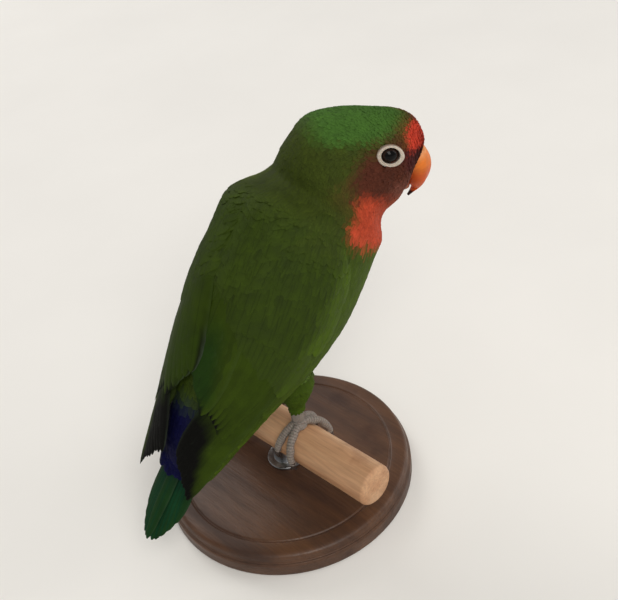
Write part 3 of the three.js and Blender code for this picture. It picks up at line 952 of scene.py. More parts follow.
def put_batch(name: str, batch: Batch) -> Object:
    """Object of joined vanes, with their colours, maps and sharp side edges.

    Args:
        name: Object name.
        batch: Joined vanes.

    Returns:
        The piece.
    """
    obj = put_mesh(name, batch.points, [batch.faces])
    put_color(obj, batch.colors)
    put_map(obj, "OFBake", corner_values(obj, batch.bake_uv))
    put_map(obj, "Vane", corner_values(obj, batch.vane_uv))
    edges = np.empty(2 * len(obj.data.edges), np.int32)
    obj.data.edges.foreach_get("vertices", edges)
    pair = batch.border[edges.reshape(-1, 2)]
    sharp = obj.data.attributes.new("sharp_edge", "BOOLEAN", "EDGE")
    sharp.data.foreach_set("value", pair.all(1))
    return obj


def grid_faces(rows: int, columns: int, loop: bool = False) -> Array:
    """Faces of a grid of points that is closed along its columns.

    Args:
        rows: Rings of the grid.
        columns: Points in a ring.
        loop: Whether the last ring joins the first one.

    Returns:
        Four corners a face.
    """
    i, j = np.meshgrid(np.arange(rows if loop else rows - 1), np.arange(columns), indexing="ij")
    k, low, high = (j + 1) % columns, i * columns, (i + 1) % rows * columns
    return np.stack([low + j, low + k, high + k, high + j], -1).reshape(-1, 4)


def capped_rings(rings: Array) -> tuple[Array, list[Array]]:
    """Closed body over rings of points, with a fan at each end.

    Args:
        rings: Points, rows by columns.

    Returns:
        Points and face groups, with the faces outward when the rings run the right-hand way.
    """
    rows, columns = rings.shape[:2]
    points = np.concatenate([rings.reshape(-1, 3), rings[0].mean(0)[None], rings[-1].mean(0)[None]])
    j = np.arange(columns)
    k = (j + 1) % columns
    first = np.stack([np.full(columns, rows * columns), k, j], -1)
    end = (rows - 1) * columns
    last = np.stack([np.full(columns, rows * columns + 1), end + j, end + k], -1)
    return points, [grid_faces(rows, columns), np.concatenate([first, last])]


def capped(values: Array) -> Array:
    """Values of ring points with those of the two poles, taken from the first and last."""
    return np.concatenate([values, values[:1], values[-1:]])


def face_outward(obj: Object) -> None:
    """Turns the faces outward when the enclosed volume comes out negative.

    Args:
        obj: The piece.
    """
    mesh = obj.data
    mesh.calc_loop_triangles()
    tris = np.empty(3 * len(mesh.loop_triangles), np.int32)
    mesh.loop_triangles.foreach_get("vertices", tris)
    co = np.empty(3 * len(mesh.vertices), np.float32)
    mesh.vertices.foreach_get("co", co)
    a, b, c = (co.reshape(-1, 3)[tris.reshape(-1, 3)[:, i]] for i in range(3))
    if np.einsum("ij,ij->i", a, np.cross(b, c)).sum() < 0:
        mesh.flip_normals()


def put_closed(name: str, rings: Array) -> Object:
    """New closed piece over rings of points, with its faces outward.

    Args:
        name: Object name.
        rings: Points, rows by columns.

    Returns:
        The object.
    """
    obj = put_mesh(name, *capped_rings(rings))
    face_outward(obj)
    return obj


def sweep(path: Array, radii: Array, around: int, lean: Array) -> Array:
    """Rings round a path: each ring is square to the run, its radius given by row and angle.

    Args:
        path: Points of the middle line.
        radii: Radius for each row, or for each row and angle.
        around: Points in a ring.
        lean: Direction, one or one a row, that the ring's first axis keeps near.

    Returns:
        Points, rows by columns.
    """
    run = unit(np.gradient(path, axis=0))
    first = unit(lean - run * (run * lean).sum(1, keepdims=True))
    second = np.cross(run, first)
    angle = ring_angles(around)[None, :, None]
    radii = radii[:, None] if radii.ndim == 1 else radii
    ring = np.cos(angle) * first[:, None] + np.sin(angle) * second[:, None]
    return path[:, None] + radii[..., None] * ring


class Nodes:
    """Short way to build a material's node tree."""

    def __init__(self, name: str) -> None:
        """Starts a material with its shader.

        Args:
            name: Material name.
        """
        self.material = bpy.data.materials.new(name)
        self.material.use_nodes = True
        self.tree = self.material.node_tree
        self.shader = self.tree.nodes["Principled BSDF"]

    def add(self, kind: str, **values: object) -> bpy.types.Node:
        """Adds a node and sets its own properties.

        Args:
            kind: Node type.
            values: Its properties.

        Returns:
            The node.
        """
        node = self.tree.nodes.new(kind)
        for key, value in values.items():
            setattr(node, key, value)
        return node

    def link(self, source: Socket, target: Socket) -> None:
        """Joins two sockets."""
        self.tree.links.new(source, target)

    def math(self, operation: str, *inputs: object) -> Socket:
        """A math node over sockets and numbers.

        Args:
            operation: Operation.
            inputs: Sockets or numbers.

        Returns:
            Its output.
        """
        node = self.add("ShaderNodeMath", operation=operation)
        for socket, value in zip(node.inputs, inputs):
            if isinstance(value, Socket):
                self.link(value, socket)
            else:
                socket.default_value = value
        return node.outputs[0]

    def blend(self, mode: str, factor: object, a: object, b: object) -> Socket:
        """A colour mix node over sockets and colours.

        Args:
            mode: Blend mode.
            factor: Share of the second colour.
            a: First colour.
            b: Second colour.

        Returns:
            Its output.
        """
        node = self.add("ShaderNodeMix", data_type="RGBA", blend_type=mode)
        for key, value in ((0, factor), (6, a), (7, b)):
            if isinstance(value, Socket):
                self.link(value, node.inputs[key])
            elif key:
                node.inputs[key].default_value = (*value, 1.0)
            else:
                node.inputs[key].default_value = value
        return node.outputs[2]

    def noise(self, scale: float, detail: float = 4.0, stretch: Triple = (1, 1, 1)) -> Socket:
        """Noise on object coordinates.

        Args:
            scale: Steps per metre.
            detail: Octaves.
            stretch: Factors along the axes.

        Returns:
            Its value.
        """
        where = self.add("ShaderNodeTexCoord")
        place = self.add("ShaderNodeMapping")
        place.inputs["Scale"].default_value = stretch
        self.link(where.outputs["Object"], place.inputs["Vector"])
        node = self.add("ShaderNodeTexNoise")
        node.inputs["Scale"].default_value = scale
        node.inputs["Detail"].default_value = detail
        self.link(place.outputs[0], node.inputs["Vector"])
        return node.outputs["Fac"]

    def range(self, value: Socket, low: float, high: float, to_low: float, to_high: float) -> Socket:
        """Maps the values from low to high to another range.

        Args:
            value: Values.
            low: Start of their range.
            high: End of their range.
            to_low: Start of the new range.
            to_high: End of the new range.

        Returns:
            The mapped values.
        """
        node = self.add("ShaderNodeMapRange")
        self.link(value, node.inputs["Value"])
        for key, number in (("From Min", low), ("From Max", high), ("To Min", to_low), ("To Max", to_high)):
            node.inputs[key].default_value = number
        return node.outputs[0]

    def spread(self, noise: Socket, to_low: float, to_high: float) -> Socket:
        """Maps the middle part of a noise to a range."""
        return self.range(noise, 0.3, 0.7, to_low, to_high)

    def painted(self) -> Socket:
        """The piece's own painted colour."""
        return self.add("ShaderNodeVertexColor", layer_name=PAINT).outputs["Color"]

    def tint(self, color: Socket, shade: Socket) -> None:
        """Sets the base colour to a colour times a shade.

        Args:
            color: Colour.
            shade: Factor.
        """
        tone = self.add("ShaderNodeVectorMath", operation="SCALE")
        self.link(color, tone.inputs[0])
        self.link(shade, tone.inputs["Scale"])
        self.link(tone.outputs[0], self.shader.inputs["Base Color"])

    def rough(self, noise: Socket, low: float, high: float) -> None:
        """Sets the roughness by a noise, between two values."""
        self.link(self.spread(noise, low, high), self.shader.inputs["Roughness"])

    def bump(self, height: Socket, strength: float, distance: float) -> None:
        """Bump on the shader's normal, with its distance in metres.

        Args:
            height: Height socket.
            strength: Strength.
            distance: Distance in metres.
        """
        node = self.add("ShaderNodeBump")
        node.inputs["Strength"].default_value = strength
        node.inputs["Distance"].default_value = distance
        self.link(height, node.inputs["Height"])
        self.link(node.outputs[0], self.shader.inputs["Normal"])

    def plain(self, **values: float) -> None:
        """Sets constant values on the shader's own sockets."""
        for key, value in values.items():
            self.shader.inputs[key.replace("_", " ")].default_value = value


@dataclass(frozen=True)
class PlumageFinish:
    """Feather finish: the coat's colours, fine barbs along each vane, a shaft and mottling."""

    name: str
    barbs: float = 46.0
    depth: float = 0.10
    roughness: float = 0.66
    relief: float = 0.00006
    shine: float = 0.1

    def make(self) -> bpy.types.Material:
        """Builds the node tree. Barbs are a sine of the place along a vane less its place off the shaft.

        Returns:
            The material.
        """
        n = Nodes(self.name)
        place = n.add("ShaderNodeUVMap", uv_map="Vane")
        parts = n.add("ShaderNodeSeparateXYZ")
        n.link(place.outputs[0], parts.inputs[0])
        off = n.math("ABSOLUTE", n.math("SUBTRACT", parts.outputs[0], 0.5))
        slant = n.math("SUBTRACT", n.math("MULTIPLY", parts.outputs[1], 10.0), n.math("MULTIPLY", off, 1.6))
        wave = n.math("SINE", n.math("MULTIPLY", slant, self.barbs))
        grain = n.math("MULTIPLY_ADD", wave, 0.5, 0.5)
        shaft = n.range(off, 0.0, 0.035, 1.0, 0.0)
        patchy = n.noise(240.0, 5.0)
        shade = n.range(grain, 0.0, 1.0, 1.0 - self.depth, 1.0 + self.depth)
        shade = n.math("MULTIPLY", shade, n.spread(patchy, 0.86, 1.14))
        shade = n.math("MULTIPLY", shade, n.math("SUBTRACT", 1.0, n.math("MULTIPLY", shaft, 0.22)))
        n.tint(n.painted(), shade)
        n.rough(patchy, self.roughness - 0.06, self.roughness + 0.08)
        n.bump(n.math("ADD", grain, n.math("MULTIPLY", shaft, 1.5)), 0.5, self.relief)
        n.plain(Specular_IOR_Level=self.shine)
        return n.material


@dataclass(frozen=True)
class SkinFinish:
    """Skin under the coat: the same markings, darker, with fine down."""

    name: str = "skin_under_coat"

    def make(self) -> bpy.types.Material:
        """Builds the node tree.

        Returns:
            The material.
        """
        n = Nodes(self.name)
        grain = n.noise(900.0, 6.0)
        shade = n.spread(grain, 0.55, 0.85)
        n.tint(n.painted(), shade)
        n.bump(grain, 0.6, 0.0002)
        n.plain(Roughness=0.85, Specular_IOR_Level=0.2)
        return n.material


@dataclass(frozen=True)
class HornFinish:
    """Horn of bill and claws: painted tones, faint growth lines and a soft polish."""

    name: str
    gloss: float = 0.42
    lines: float = 900.0

    def make(self) -> bpy.types.Material:
        """Builds the node tree.

        Returns:
            The material.
        """
        n = Nodes(self.name)
        growth = n.noise(self.lines, 5.0, (0.5, 0.5, 2.2))
        flecks = n.noise(420.0, 6.0)
        shade = n.math("MULTIPLY", n.spread(growth, 0.93, 1.07), n.range(flecks, 0.3, 0.75, 0.86, 1.1))
        n.tint(n.painted(), shade)
        n.rough(flecks, self.gloss - 0.06, self.gloss + 0.14)
        n.bump(n.math("ADD", growth, flecks), 0.35, 0.00012)
        n.plain(Specular_IOR_Level=0.14, Subsurface_Weight=0.08, Subsurface_Scale=0.001, Coat_Weight=0.03,
                Coat_Roughness=0.25)
        return n.material


@dataclass(frozen=True)
class BareSkinFinish:
    """Bare skin of eye rings, cere, shanks and toes: painted tones with fine wrinkles."""

    name: str
    wrinkles: float = 1800.0
    relief: float = 0.00012
    roughness: float = 0.55

    def make(self) -> bpy.types.Material:
        """Builds the node tree.

        Returns:
            The material.
        """
        n = Nodes(self.name)
        where = n.add("ShaderNodeTexCoord")
        cells = n.add("ShaderNodeTexVoronoi", feature="DISTANCE_TO_EDGE")
        cells.inputs["Scale"].default_value = self.wrinkles
        n.link(where.outputs["Object"], cells.inputs["Vector"])
        fine = n.noise(1400.0, 5.0)
        line = n.range(cells.outputs["Distance"], 0.0, 0.14, 0.0, 1.0)
        shade = n.math("MULTIPLY", n.range(line, 0.0, 1.0, 0.8, 1.04), n.spread(fine, 0.9, 1.08))
        n.tint(n.painted(), shade)
        n.bump(n.math("ADD", line, fine), 0.5, self.relief)
        n.plain(Roughness=self.roughness, Specular_IOR_Level=0.35, Subsurface_Weight=0.06,
                Subsurface_Scale=0.001)
        return n.material


@dataclass(frozen=True)
class EyeFinish:
    """Wet eye: dark iris round a black pupil under a clear, glossy surface."""

    name: str = "eye_wet"

    def make(self) -> bpy.types.Material:
        """Builds the node tree.

        Returns:
            The material.
        """
        n = Nodes(self.name)
        fine = n.noise(3000.0, 4.0)
        n.tint(n.painted(), n.spread(fine, 0.8, 1.2))
        n.plain(Roughness=0.06, Specular_IOR_Level=0.12)
        return n.material


@dataclass(frozen=True)
class WoodFinish:
    """Bare wood: growth streaks along one axis, pores and a few darker marks."""

    name: str
    light: Tone
    dark: Tone
    stretch: Triple
    roughness: float = 0.6

    def make(self) -> bpy.types.Material:
        """Builds the node tree.

        Returns:
            The material.
        """
        n = Nodes(self.name)
        streaks = n.noise(160.0, 7.0, self.stretch)
        pores = n.noise(1500.0, 4.0, self.stretch)
        marks = n.noise(60.0, 5.0, (1, 1, 1))
        share = n.range(streaks, 0.32, 0.68, 0.0, 1.0)
        color = n.blend("MIX", share, self.light.rgb, self.dark.rgb)
        color = n.blend("MULTIPLY", n.range(marks, 0.62, 0.78, 0.0, 0.7), color, Tone.KNOT.rgb)
        shade = n.range(pores, 0.3, 0.62, 0.82, 1.05)
        n.tint(color, shade)
        n.rough(streaks, self.roughness - 0.08, self.roughness + 0.1)
        n.bump(n.math("ADD", streaks, pores), 0.4, 0.0003)
        n.plain(Specular_IOR_Level=0.35)
        return n.material


@dataclass(frozen=True)
class MetalFinish:
    """Brushed steel of the rod."""

    name: str = "rod_steel"

    def make(self) -> bpy.types.Material:
        """Builds the node tree.

        Returns:
            The material.
        """
        n = Nodes(self.name)
        brush = n.noise(900.0, 5.0, (1, 1, 0.04))
        color = n.blend("MIX", n.spread(brush, 0.0, 1.0), Tone.STEEL_DARK.rgb, Tone.STEEL.rgb)
        n.link(color, n.shader.inputs["Base Color"])
        n.rough(brush, 0.26, 0.42)
        n.bump(brush, 0.25, 0.00005)
        n.plain(Metallic=1.0)
        return n.material


@dataclass(frozen=True)
class FloorFinish:
    """Plain pale floor of the studio."""

    name: str = "studio_floor"

    def make(self) -> bpy.types.Material:
        """Builds the node tree.

        Returns:
            The material.
        """
        n = Nodes(self.name)
        cloud = n.noise(14.0, 3.0)
        color = n.blend("MIX", n.spread(cloud, 0.0, 1.0), Tone.FLOOR_DARK.rgb, Tone.FLOOR.rgb)
        n.link(color, n.shader.inputs["Base Color"])
        n.plain(Roughness=0.75, Specular_IOR_Level=0.25)
        return n.material


def dress(obj: Object, material: bpy.types.Material, slot: str, *nodes: str) -> Object:
    """Gives a piece its material and its body, and hides the nodes that it stands for.

    Args:
        obj: The piece.
        material: Its finish.
        slot: Not used.
        nodes: Nodes that it stands for.

    Returns:
        The piece.
    """
    obj.data.materials.append(material)
    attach(obj, "root")
    if nodes:
        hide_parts(*nodes)
    return obj


@dataclass
class Skin:
    """One skin from the tail root to the face, inside the solids by the coat's depth."""

    depth: float = 1.0
    rows: int = 200
    around: int = 160
    surface: BodySurface = field(default_factory=BodySurface)

    def build(self) -> Object:
        """Closed skin over a grid of stations and angles, with its own unwrap.

        Returns:
            The piece.
        """
        u = np.linspace(0, FACE, self.rows)[:, None]
        angle = ring_angles(self.around)[None, :]
        lift = 0.7 * mantle_rise(u, angle)
        rings = self.surface.point(u, angle, lift - self.depth)
        obj = put_closed("skin", rings)
        rng = np.random.default_rng(5)
        uu, aa = np.broadcast_arrays(u, angle)
        colors = MARKINGS.body(self.surface, uu.ravel(), aa.ravel(), rng)
        put_color(obj, capped(colors))
        corners = corner_values(obj, np.concatenate([
            np.stack([uu.ravel() / FACE, aa.ravel() / FULL], -1), [[0.0, 0.5]], [[1.0, 0.5]]]))
        totals = np.empty(len(obj.data.polygons), np.int32)
        obj.data.polygons.foreach_get("loop_total", totals)
        poly = np.repeat(np.arange(len(totals)), totals)
        wraps = np.zeros(len(totals), bool)
        np.logical_or.at(wraps, poly, corners[:, 1] > 0.9)
        corners[:, 1] += wraps[poly] & (corners[:, 1] < 0.05)
        put_map(obj, "OFBake", corners)
        return obj


@dataclass
class BodyCoat:
    """Contour feathers of head, neck, body and rump in three joined pieces."""

    surface: BodySurface = field(default_factory=BodySurface)
    seed: int = 11
    spacing: float = 0.24
    probes: int = 72
    step: float = 0.02

    def lengths(self, u: Array) -> Array:
        """Feather length by station: short on the face, longest on belly and mantle."""
        return np.interp(u, (0, 1, 2, 4, 6, 7, 8, 9, 10, 11, 12, 13, 14),
                         (6.0, 7.0, 8.0, 8.5, 7.6, 6.4, 5.2, 4.4, 3.7, 3.0, 2.4, 1.9, 1.6))

    def scatter(self, low: float, high: float, rng: Rng) -> tuple[Array, Array]:
        """Jittered places in staggered rows, thinned where the surface is narrower or shorter.

        Args:
            low: First station.
            high: Last station.
            rng: Random source.

        Returns:
            Stations and angles.
        """
        us, angles = [], []
        u, row = high, 0
        while u > low:
            probe = ring_angles(self.probes)
            ring = self.surface.straight(u + 0 * probe, probe)
            ahead = self.surface.straight(u - self.step + 0 * probe, probe)
            step = np.linalg.norm(ahead - ring, axis=1) / self.step
            girth = np.linalg.norm(ring - np.roll(ring, 1, 0), axis=1)
            length = float(self.lengths(np.array(u)))
            gap = self.spacing * length
            count = max(10, int(girth.sum() / (0.8 * gap)))
            walk = np.cumsum(girth)
            at = (np.arange(count) + 0.5 * (row % 2) + rng.uniform(-0.3, 0.3, count)) / count * walk[-1]
            whole = np.append(probe, FULL)
            angle = np.interp(np.mod(at, walk[-1]), np.append(0, walk), whole)
            local = np.interp(angle, whole, np.append(step, step[0]))
            keep = rng.uniform(0, 1, count) < local / step.max() * 1.15
            du = gap / step.max()
            us.append(np.full(count, u)[keep] + rng.uniform(-0.3, 0.3, keep.sum()) * du)
            angles.append(angle[keep])
            u -= du
            row += 1
        return np.clip(np.concatenate(us), 0.05, FACE), np.concatenate(angles)

    def layer(self, name: str, low: float, high: float, shape: VaneShape) -> Object:
        """One joined piece of coat, left out under the wings and inside the eye rings.

        Args:
            name: Object name.
            low: First station.
            high: Last station.
            shape: Form of the feathers.

        Returns:
            The piece.
        """
        rng = np.random.default_rng(self.seed + int(10 * low))
        u, angle = self.scatter(low, high, rng)
        share = wing_share(angle)
        s, _ = TRUNK.places(self.surface.straight(u, angle))
        covered = (s < 63) & (s > 4) & (share > eased(WING_LOWER, s) + 0.05)
        covered = covered & (share < eased(WING_UPPER, s) - 0.1)
        u, angle, share = u[~covered], angle[~covered], share[~covered]
        p = self.surface.straight(u, angle)
        f, up = HEAD.places(p)
        eye = np.hypot(f - EYE_PLACE[0], up - EYE_PLACE[1])
        on_side = np.abs(p[:, 1]) > 6
        u, angle, share, p = (v[~((eye < EYE_BARE) & on_side)] for v in (u, angle, share, p))
        s, _ = TRUNK.places(p)
        length = self.lengths(u) * rng.uniform(0.85, 1.15, len(u))
        e, at = self.step, self.surface.point
        step = np.linalg.norm(at(np.maximum(u - e, 0), angle) - at(u, angle), axis=1) / e
        swing = rng.normal(0, 0.12, len(u))
        aside = np.linalg.norm(at(u, angle + e) - at(u, angle), axis=1) / e
        tip_u = u - length * np.cos(swing) / np.maximum(step, 2.0)
        tip_angle = angle + length * np.sin(swing) / np.maximum(aside, 2.0)
        rise = mantle_rise(u, angle)
        tip_rise = mantle_rise(np.maximum(tip_u, 0), tip_angle)
        depth = np.interp(u, (0, 3, 7, 10, 14), (1.1, 1.2, 1.0, 0.75, 0.5))
        surface = BodySurface(bake_low=low - 0.01, bake_high=high + 0.01)
        vanes = VaneLayer(
            surface, shape, np.stack([u, angle], -1), np.stack([tip_u, tip_angle], -1),
            length * np.interp(u, (0, 6, 10, 14), (0.4, 0.38, 0.34, 0.34)),
            rise - depth, tip_rise + 0.08 + rng.uniform(-0.08, 0.12, len(u)),
        )
        told = 0.8 if low > 9 else 0.3
        colors = MARKINGS.body(surface, np.maximum(u - told * (u - tip_u), 0), angle, rng)
        return put_batch(name, vanes.build(colors, rng))


@dataclass
class Wing:
    """Folded wing: flight feathers lowest, then coverts in tiers up to the shoulder.

    The left wing's inner feathers cross the middle of the back and lie over the right ones.
    """

    side: Side
    seed: int
    primary_tips: Pair = (0.79, 0.93)
    tertial_tips: Pair = (0.87, 0.965)
    over: float = 0.0
    bend: float = 75.0
    lesser_end: float = 43.0

    def row(self, count: int, root: tuple[Pair, ...], tip: tuple[Pair, ...],
            rng: Rng) -> tuple[Array, Array, Array, Array]:
        """Roots and tips of a row of feathers, spread evenly between its first and last.

        Args:
            count: Number of feathers.
            root: First and last place, share and height of the roots.
            tip: First and last place, share and height of the tips.
            rng: Source of small differences.

        Returns:
            Roots, tips, root heights and tip heights.
        """
        q = np.linspace(0, 1, count)
        s0, a0, h0, s1, a1, h1 = (r[0] + (r[1] - r[0]) * q for r in (*root, *tip))
        s1 = s1 + rng.normal(0, 0.3, count)
        return np.stack([s0, a0], -1), np.stack([s1, a1], -1), h0, h1

    def paint(self, s: Array, share: Array, t: Array, x: Array, tips: float = 0.0) -> Array:
        """Colours of the flight feathers by place on the wing.

        Outer webs are green and inner webs dark, less so on the innermost feathers. Those are dark teal,
        a little on the left wing and much more on the right, where it is painted shade under the crossed
        left wing. A pale line runs along their inner edge, with a painted shadow beside it. The tips of
        the primaries beside the rump are blackish.

        Args:
            s: Places along the back.
            share: Shares of the half turn.
            t: Shares along the feather.
            x: Places across it, -1 at its outer edge.
            tips: How dark the tips are.

        Returns:
            Linear colours.
        """
        inner = smooth(x, -0.2, 0.3) * (1 - smooth(s, 11, 18)) * smooth(share, 0.73, 0.78)
        color = mix(Tone.WING.rgb, Tone.FLIGHT.rgb, inner)
        # Dark teal on the innermost feathers: their own tint on the left wing, and much more on the right
        # wing as painted shade under the crossed left wing
        from_back = 0.82 + 0.0025 * (s - 15)
        teal = np.clip((share - from_back) / 0.05, 0, 1) * smooth(s, 10, 16) * (1 - smooth(s, 29, 37))
        teal = teal * (0.9 if self.side.value < 0 else 0.15)
        color = mix(color, Tone.TEAL.rgb, teal)
        dark = tips * ((1 - smooth(s, 8, 15)) * smooth(share, 0.755, 0.8) + 0.7 * smooth(t, 0.86, 1.0))
        color = mix(color, Tone.FLIGHT.rgb, np.clip(dark, 0, 1))
        # Painted shadow: a dark band on the inner webs of the innermost feathers, along the middle of the
        # back
        midline_shadow = smooth(x, 0.3, 0.7) * smooth(share, 0.95, 0.98) * smooth(s, 14, 22) * (1 - smooth(s, 28, 36))
        color = mix(color, Tone.FLIGHT.rgb, 0.8 * np.clip(midline_shadow, 0, 1))
        rim = smooth(np.abs(x), 0.9, 1.0) * (0.05 + 0.04 * np.clip(dark, 0, 1))
        rim = rim + 0.3 * smooth(x, 0.93, 1.0) * smooth(share, 0.96, 1.0) * (1 - smooth(s, 27, 33))
        return mix(color, Tone.EDGE.rgb, np.clip(rim, 0, 1))

    def large(self) -> Batch:
        """Primaries, secondaries and tertials, from the lowest up.

        Returns:
            The joined feathers.
        """
        rng = np.random.default_rng(self.seed)
        low, high = self.primary_tips
        inner, last = self.tertial_tips
        rows = (
            (10, ((34, 38), (0.53, 0.68), (0.0, 0.2)), ((-14, -5), (low, high), (0.3, 0.7)), 2.7, 1.0),
            (10, ((42, 50), (0.55, 0.86), (0.2, 0.3)), ((5, 14), (0.71, 0.9), (0.7, 1.0)), 3.6, 0.0),
            (6, ((50, 54), (0.84, 0.93), (0.4, 0.5)), ((10, 20), (inner, last), (1.2, 1.6)), 3.6, 0.0),
        )
        batches, total, start = [], sum(row[0] for row in rows), 0
        for count, root, tip, width, tips in rows:
            r, t, h0, h1 = self.row(count, root, tip, rng)
            layer = VaneLayer(WingSurface(self.side), FLIGHT, r, t, np.full(count, width), h0 + self.over,
                              h1 + self.over, tilt=-0.2, sheet=(start / total, (start + count) / total))
            batches.append(layer.build(np.zeros((count, 3)), rng, partial(self.paint, tips=tips)))
            start += count
        return join_batches(batches)

    def tuck(self, s: Array, share: Array) -> Array:
        """Share of its height that a covert keeps: it sinks under the mantle at its upper border."""
        upper = eased(WING_UPPER, s)
        return 1 - smooth(share, upper - 0.14, upper + 0.02)

    def coverts(self) -> Batch:
        """Greater and median coverts, then rows of lesser coverts up to the bend of the wing.

        The lesser coverts shorten towards the bend, where their roots lie under the coat of the
        neck and breast, so that the wing grows out of the body without an edge.

        Returns:
            The joined feathers.
        """
        rng = np.random.default_rng(self.seed + 1)
        surface = WingSurface(self.side)
        batches = []
        rows = (
            (17, ((50, 57), (0.515, 0.87), (0.5, 0.5)), ((22, 33), (0.55, 0.88), (0.75, 0.95)), 3.5),
            (17, ((54, 60), (0.51, 0.88), (0.6, 0.6)), ((30, 38), (0.53, 0.89), (1.0, 1.15)), 3.3),
        )
        for count, root, tip, width in rows:
            r, t, h0, h1 = self.row(count, root, tip, rng)
            t[:, 0] += rng.normal(0, 0.5, count)
            h1 = 0.4 + (h1 - 0.4) * (0.3 + 0.7 * self.tuck(t[:, 0], t[:, 1]))
            layer = VaneLayer(surface, COVERT, r, t, np.full(count, width), h0 - 0.2, h1, tilt=-0.06)
            tone = layered(Tone.WING.rgb, (Tone.BREAST, 0.5 * (1 - smooth(t[:, 1], 0.5, 0.62))))
            batches.append(layer.build(tone, rng))
        s, row = self.bend, 0
        places = []
        while s > self.lesser_end:
            low, high = eased(WING_LOWER, s, ease=2.0) + 0.005, eased(WING_UPPER, s, ease=2.0) + 0.03
            high = min(high, float(np.interp(s, (68, 75), (high, 0.6))))
            width = (high - low) * math.pi * 22
            count = max(4, int(width / float(np.interp(s, (43, 60, 75), (2.6, 1.8, 1.3)))))
            share = np.linspace(low, high, count) + (0.5 * (row % 2) - 0.25) * (high - low) / count
            share = share + rng.normal(0, 0.003, count)
            places.append(np.stack([s + rng.normal(0, 0.4, count), share], -1))
            s -= float(np.interp(s, (43, 60, 75), (2.4, 1.6, 1.0)))
            row += 1
        root = np.concatenate(places)
        length = np.interp(root[:, 0], (43, 52, 60, 75), (10.5, 8.4, 6.6, 4.2))
        length = length * rng.uniform(0.9, 1.1, len(root))
        tip = root + np.stack([-length, rng.normal(0, 0.008, len(root))], -1)
        h0 = np.interp(root[:, 0], (43, 50, 58, 66, 70, 75), (0.9, 0.8, 0.4, -1.0, -2.2, -3.4))
        h1 = np.interp(tip[:, 0], (33, 42, 50, 60, 66, 71), (1.3, 1.5, 1.5, 0.9, -0.3, -1.7))
        h1 = np.where(h1 > 0.4, 0.4 + (h1 - 0.4) * (0.3 + 0.7 * self.tuck(tip[:, 0], tip[:, 1])), h1)
        layer = VaneLayer(surface, BODY, root, tip, length * 0.34, np.minimum(h0, h1 - 0.6), h1)
        tone = mix(Tone.WING.rgb, Tone.NAPE.rgb, 0.6 * smooth(root[:, 0], 62, 72))
        tone = mix(tone, Tone.BREAST.rgb, 0.7 * (1 - smooth(root[:, 1], 0.5, 0.6)))
        # Painted highlight: the left wing's shoulder coverts are paler in a small spot
        shoulder_highlight = bell(root[:, 0] - 69.5, 2.2) * bell(root[:, 1] - 0.76, 0.05) * max(self.side.value, 0.0)
        batches.append(layer.build(mix(tone, Tone.SHOULDER_HIGHLIGHT.rgb, 0.25 * shoulder_highlight), rng))
        return join_batches(batches)

    def bed(self) -> Array:
        """Rings of the closed plate under the feathers: a swell over the bed, sunk into the body below.

        Returns:
            Rings of points.
        """
        along, across = 60, 18
        s = np.linspace(-4, 62, along)[:, None]
        low, high = eased(WING_LOWER, s) + 0.04, eased(WING_UPPER, s) - 0.05
        q = np.linspace(0, 1, across)[None, :]
        share = low + (high - low) * q
        swell = eased(WING_CORE, s) * 0.2 * np.sin(math.pi * q) ** 0.6 - 0.5
        sink = -0.9 - 3.4 * smooth(s, 6, 16) + 0 * q
        surface = WingSurface(self.side)
        under = surface.point(s + 0 * q, share, sink)[:, ::-1]
        return np.concatenate([surface.point(s + 0 * q, share, swell), under], 1)

    def build(self) -> list[Object]:
        """The wing's pieces: the bed, the flight feathers and the coverts.

        Returns:
            Its pieces.
        """
        label = self.side.label
        bed = put_closed(f"wing_bed_{label}", self.bed())
        put_color(bed, Tone.WING.rgb)
        return [bed, put_batch(f"wing_flight_{label}", self.large()),
                put_batch(f"wing_coverts_{label}", self.coverts())]


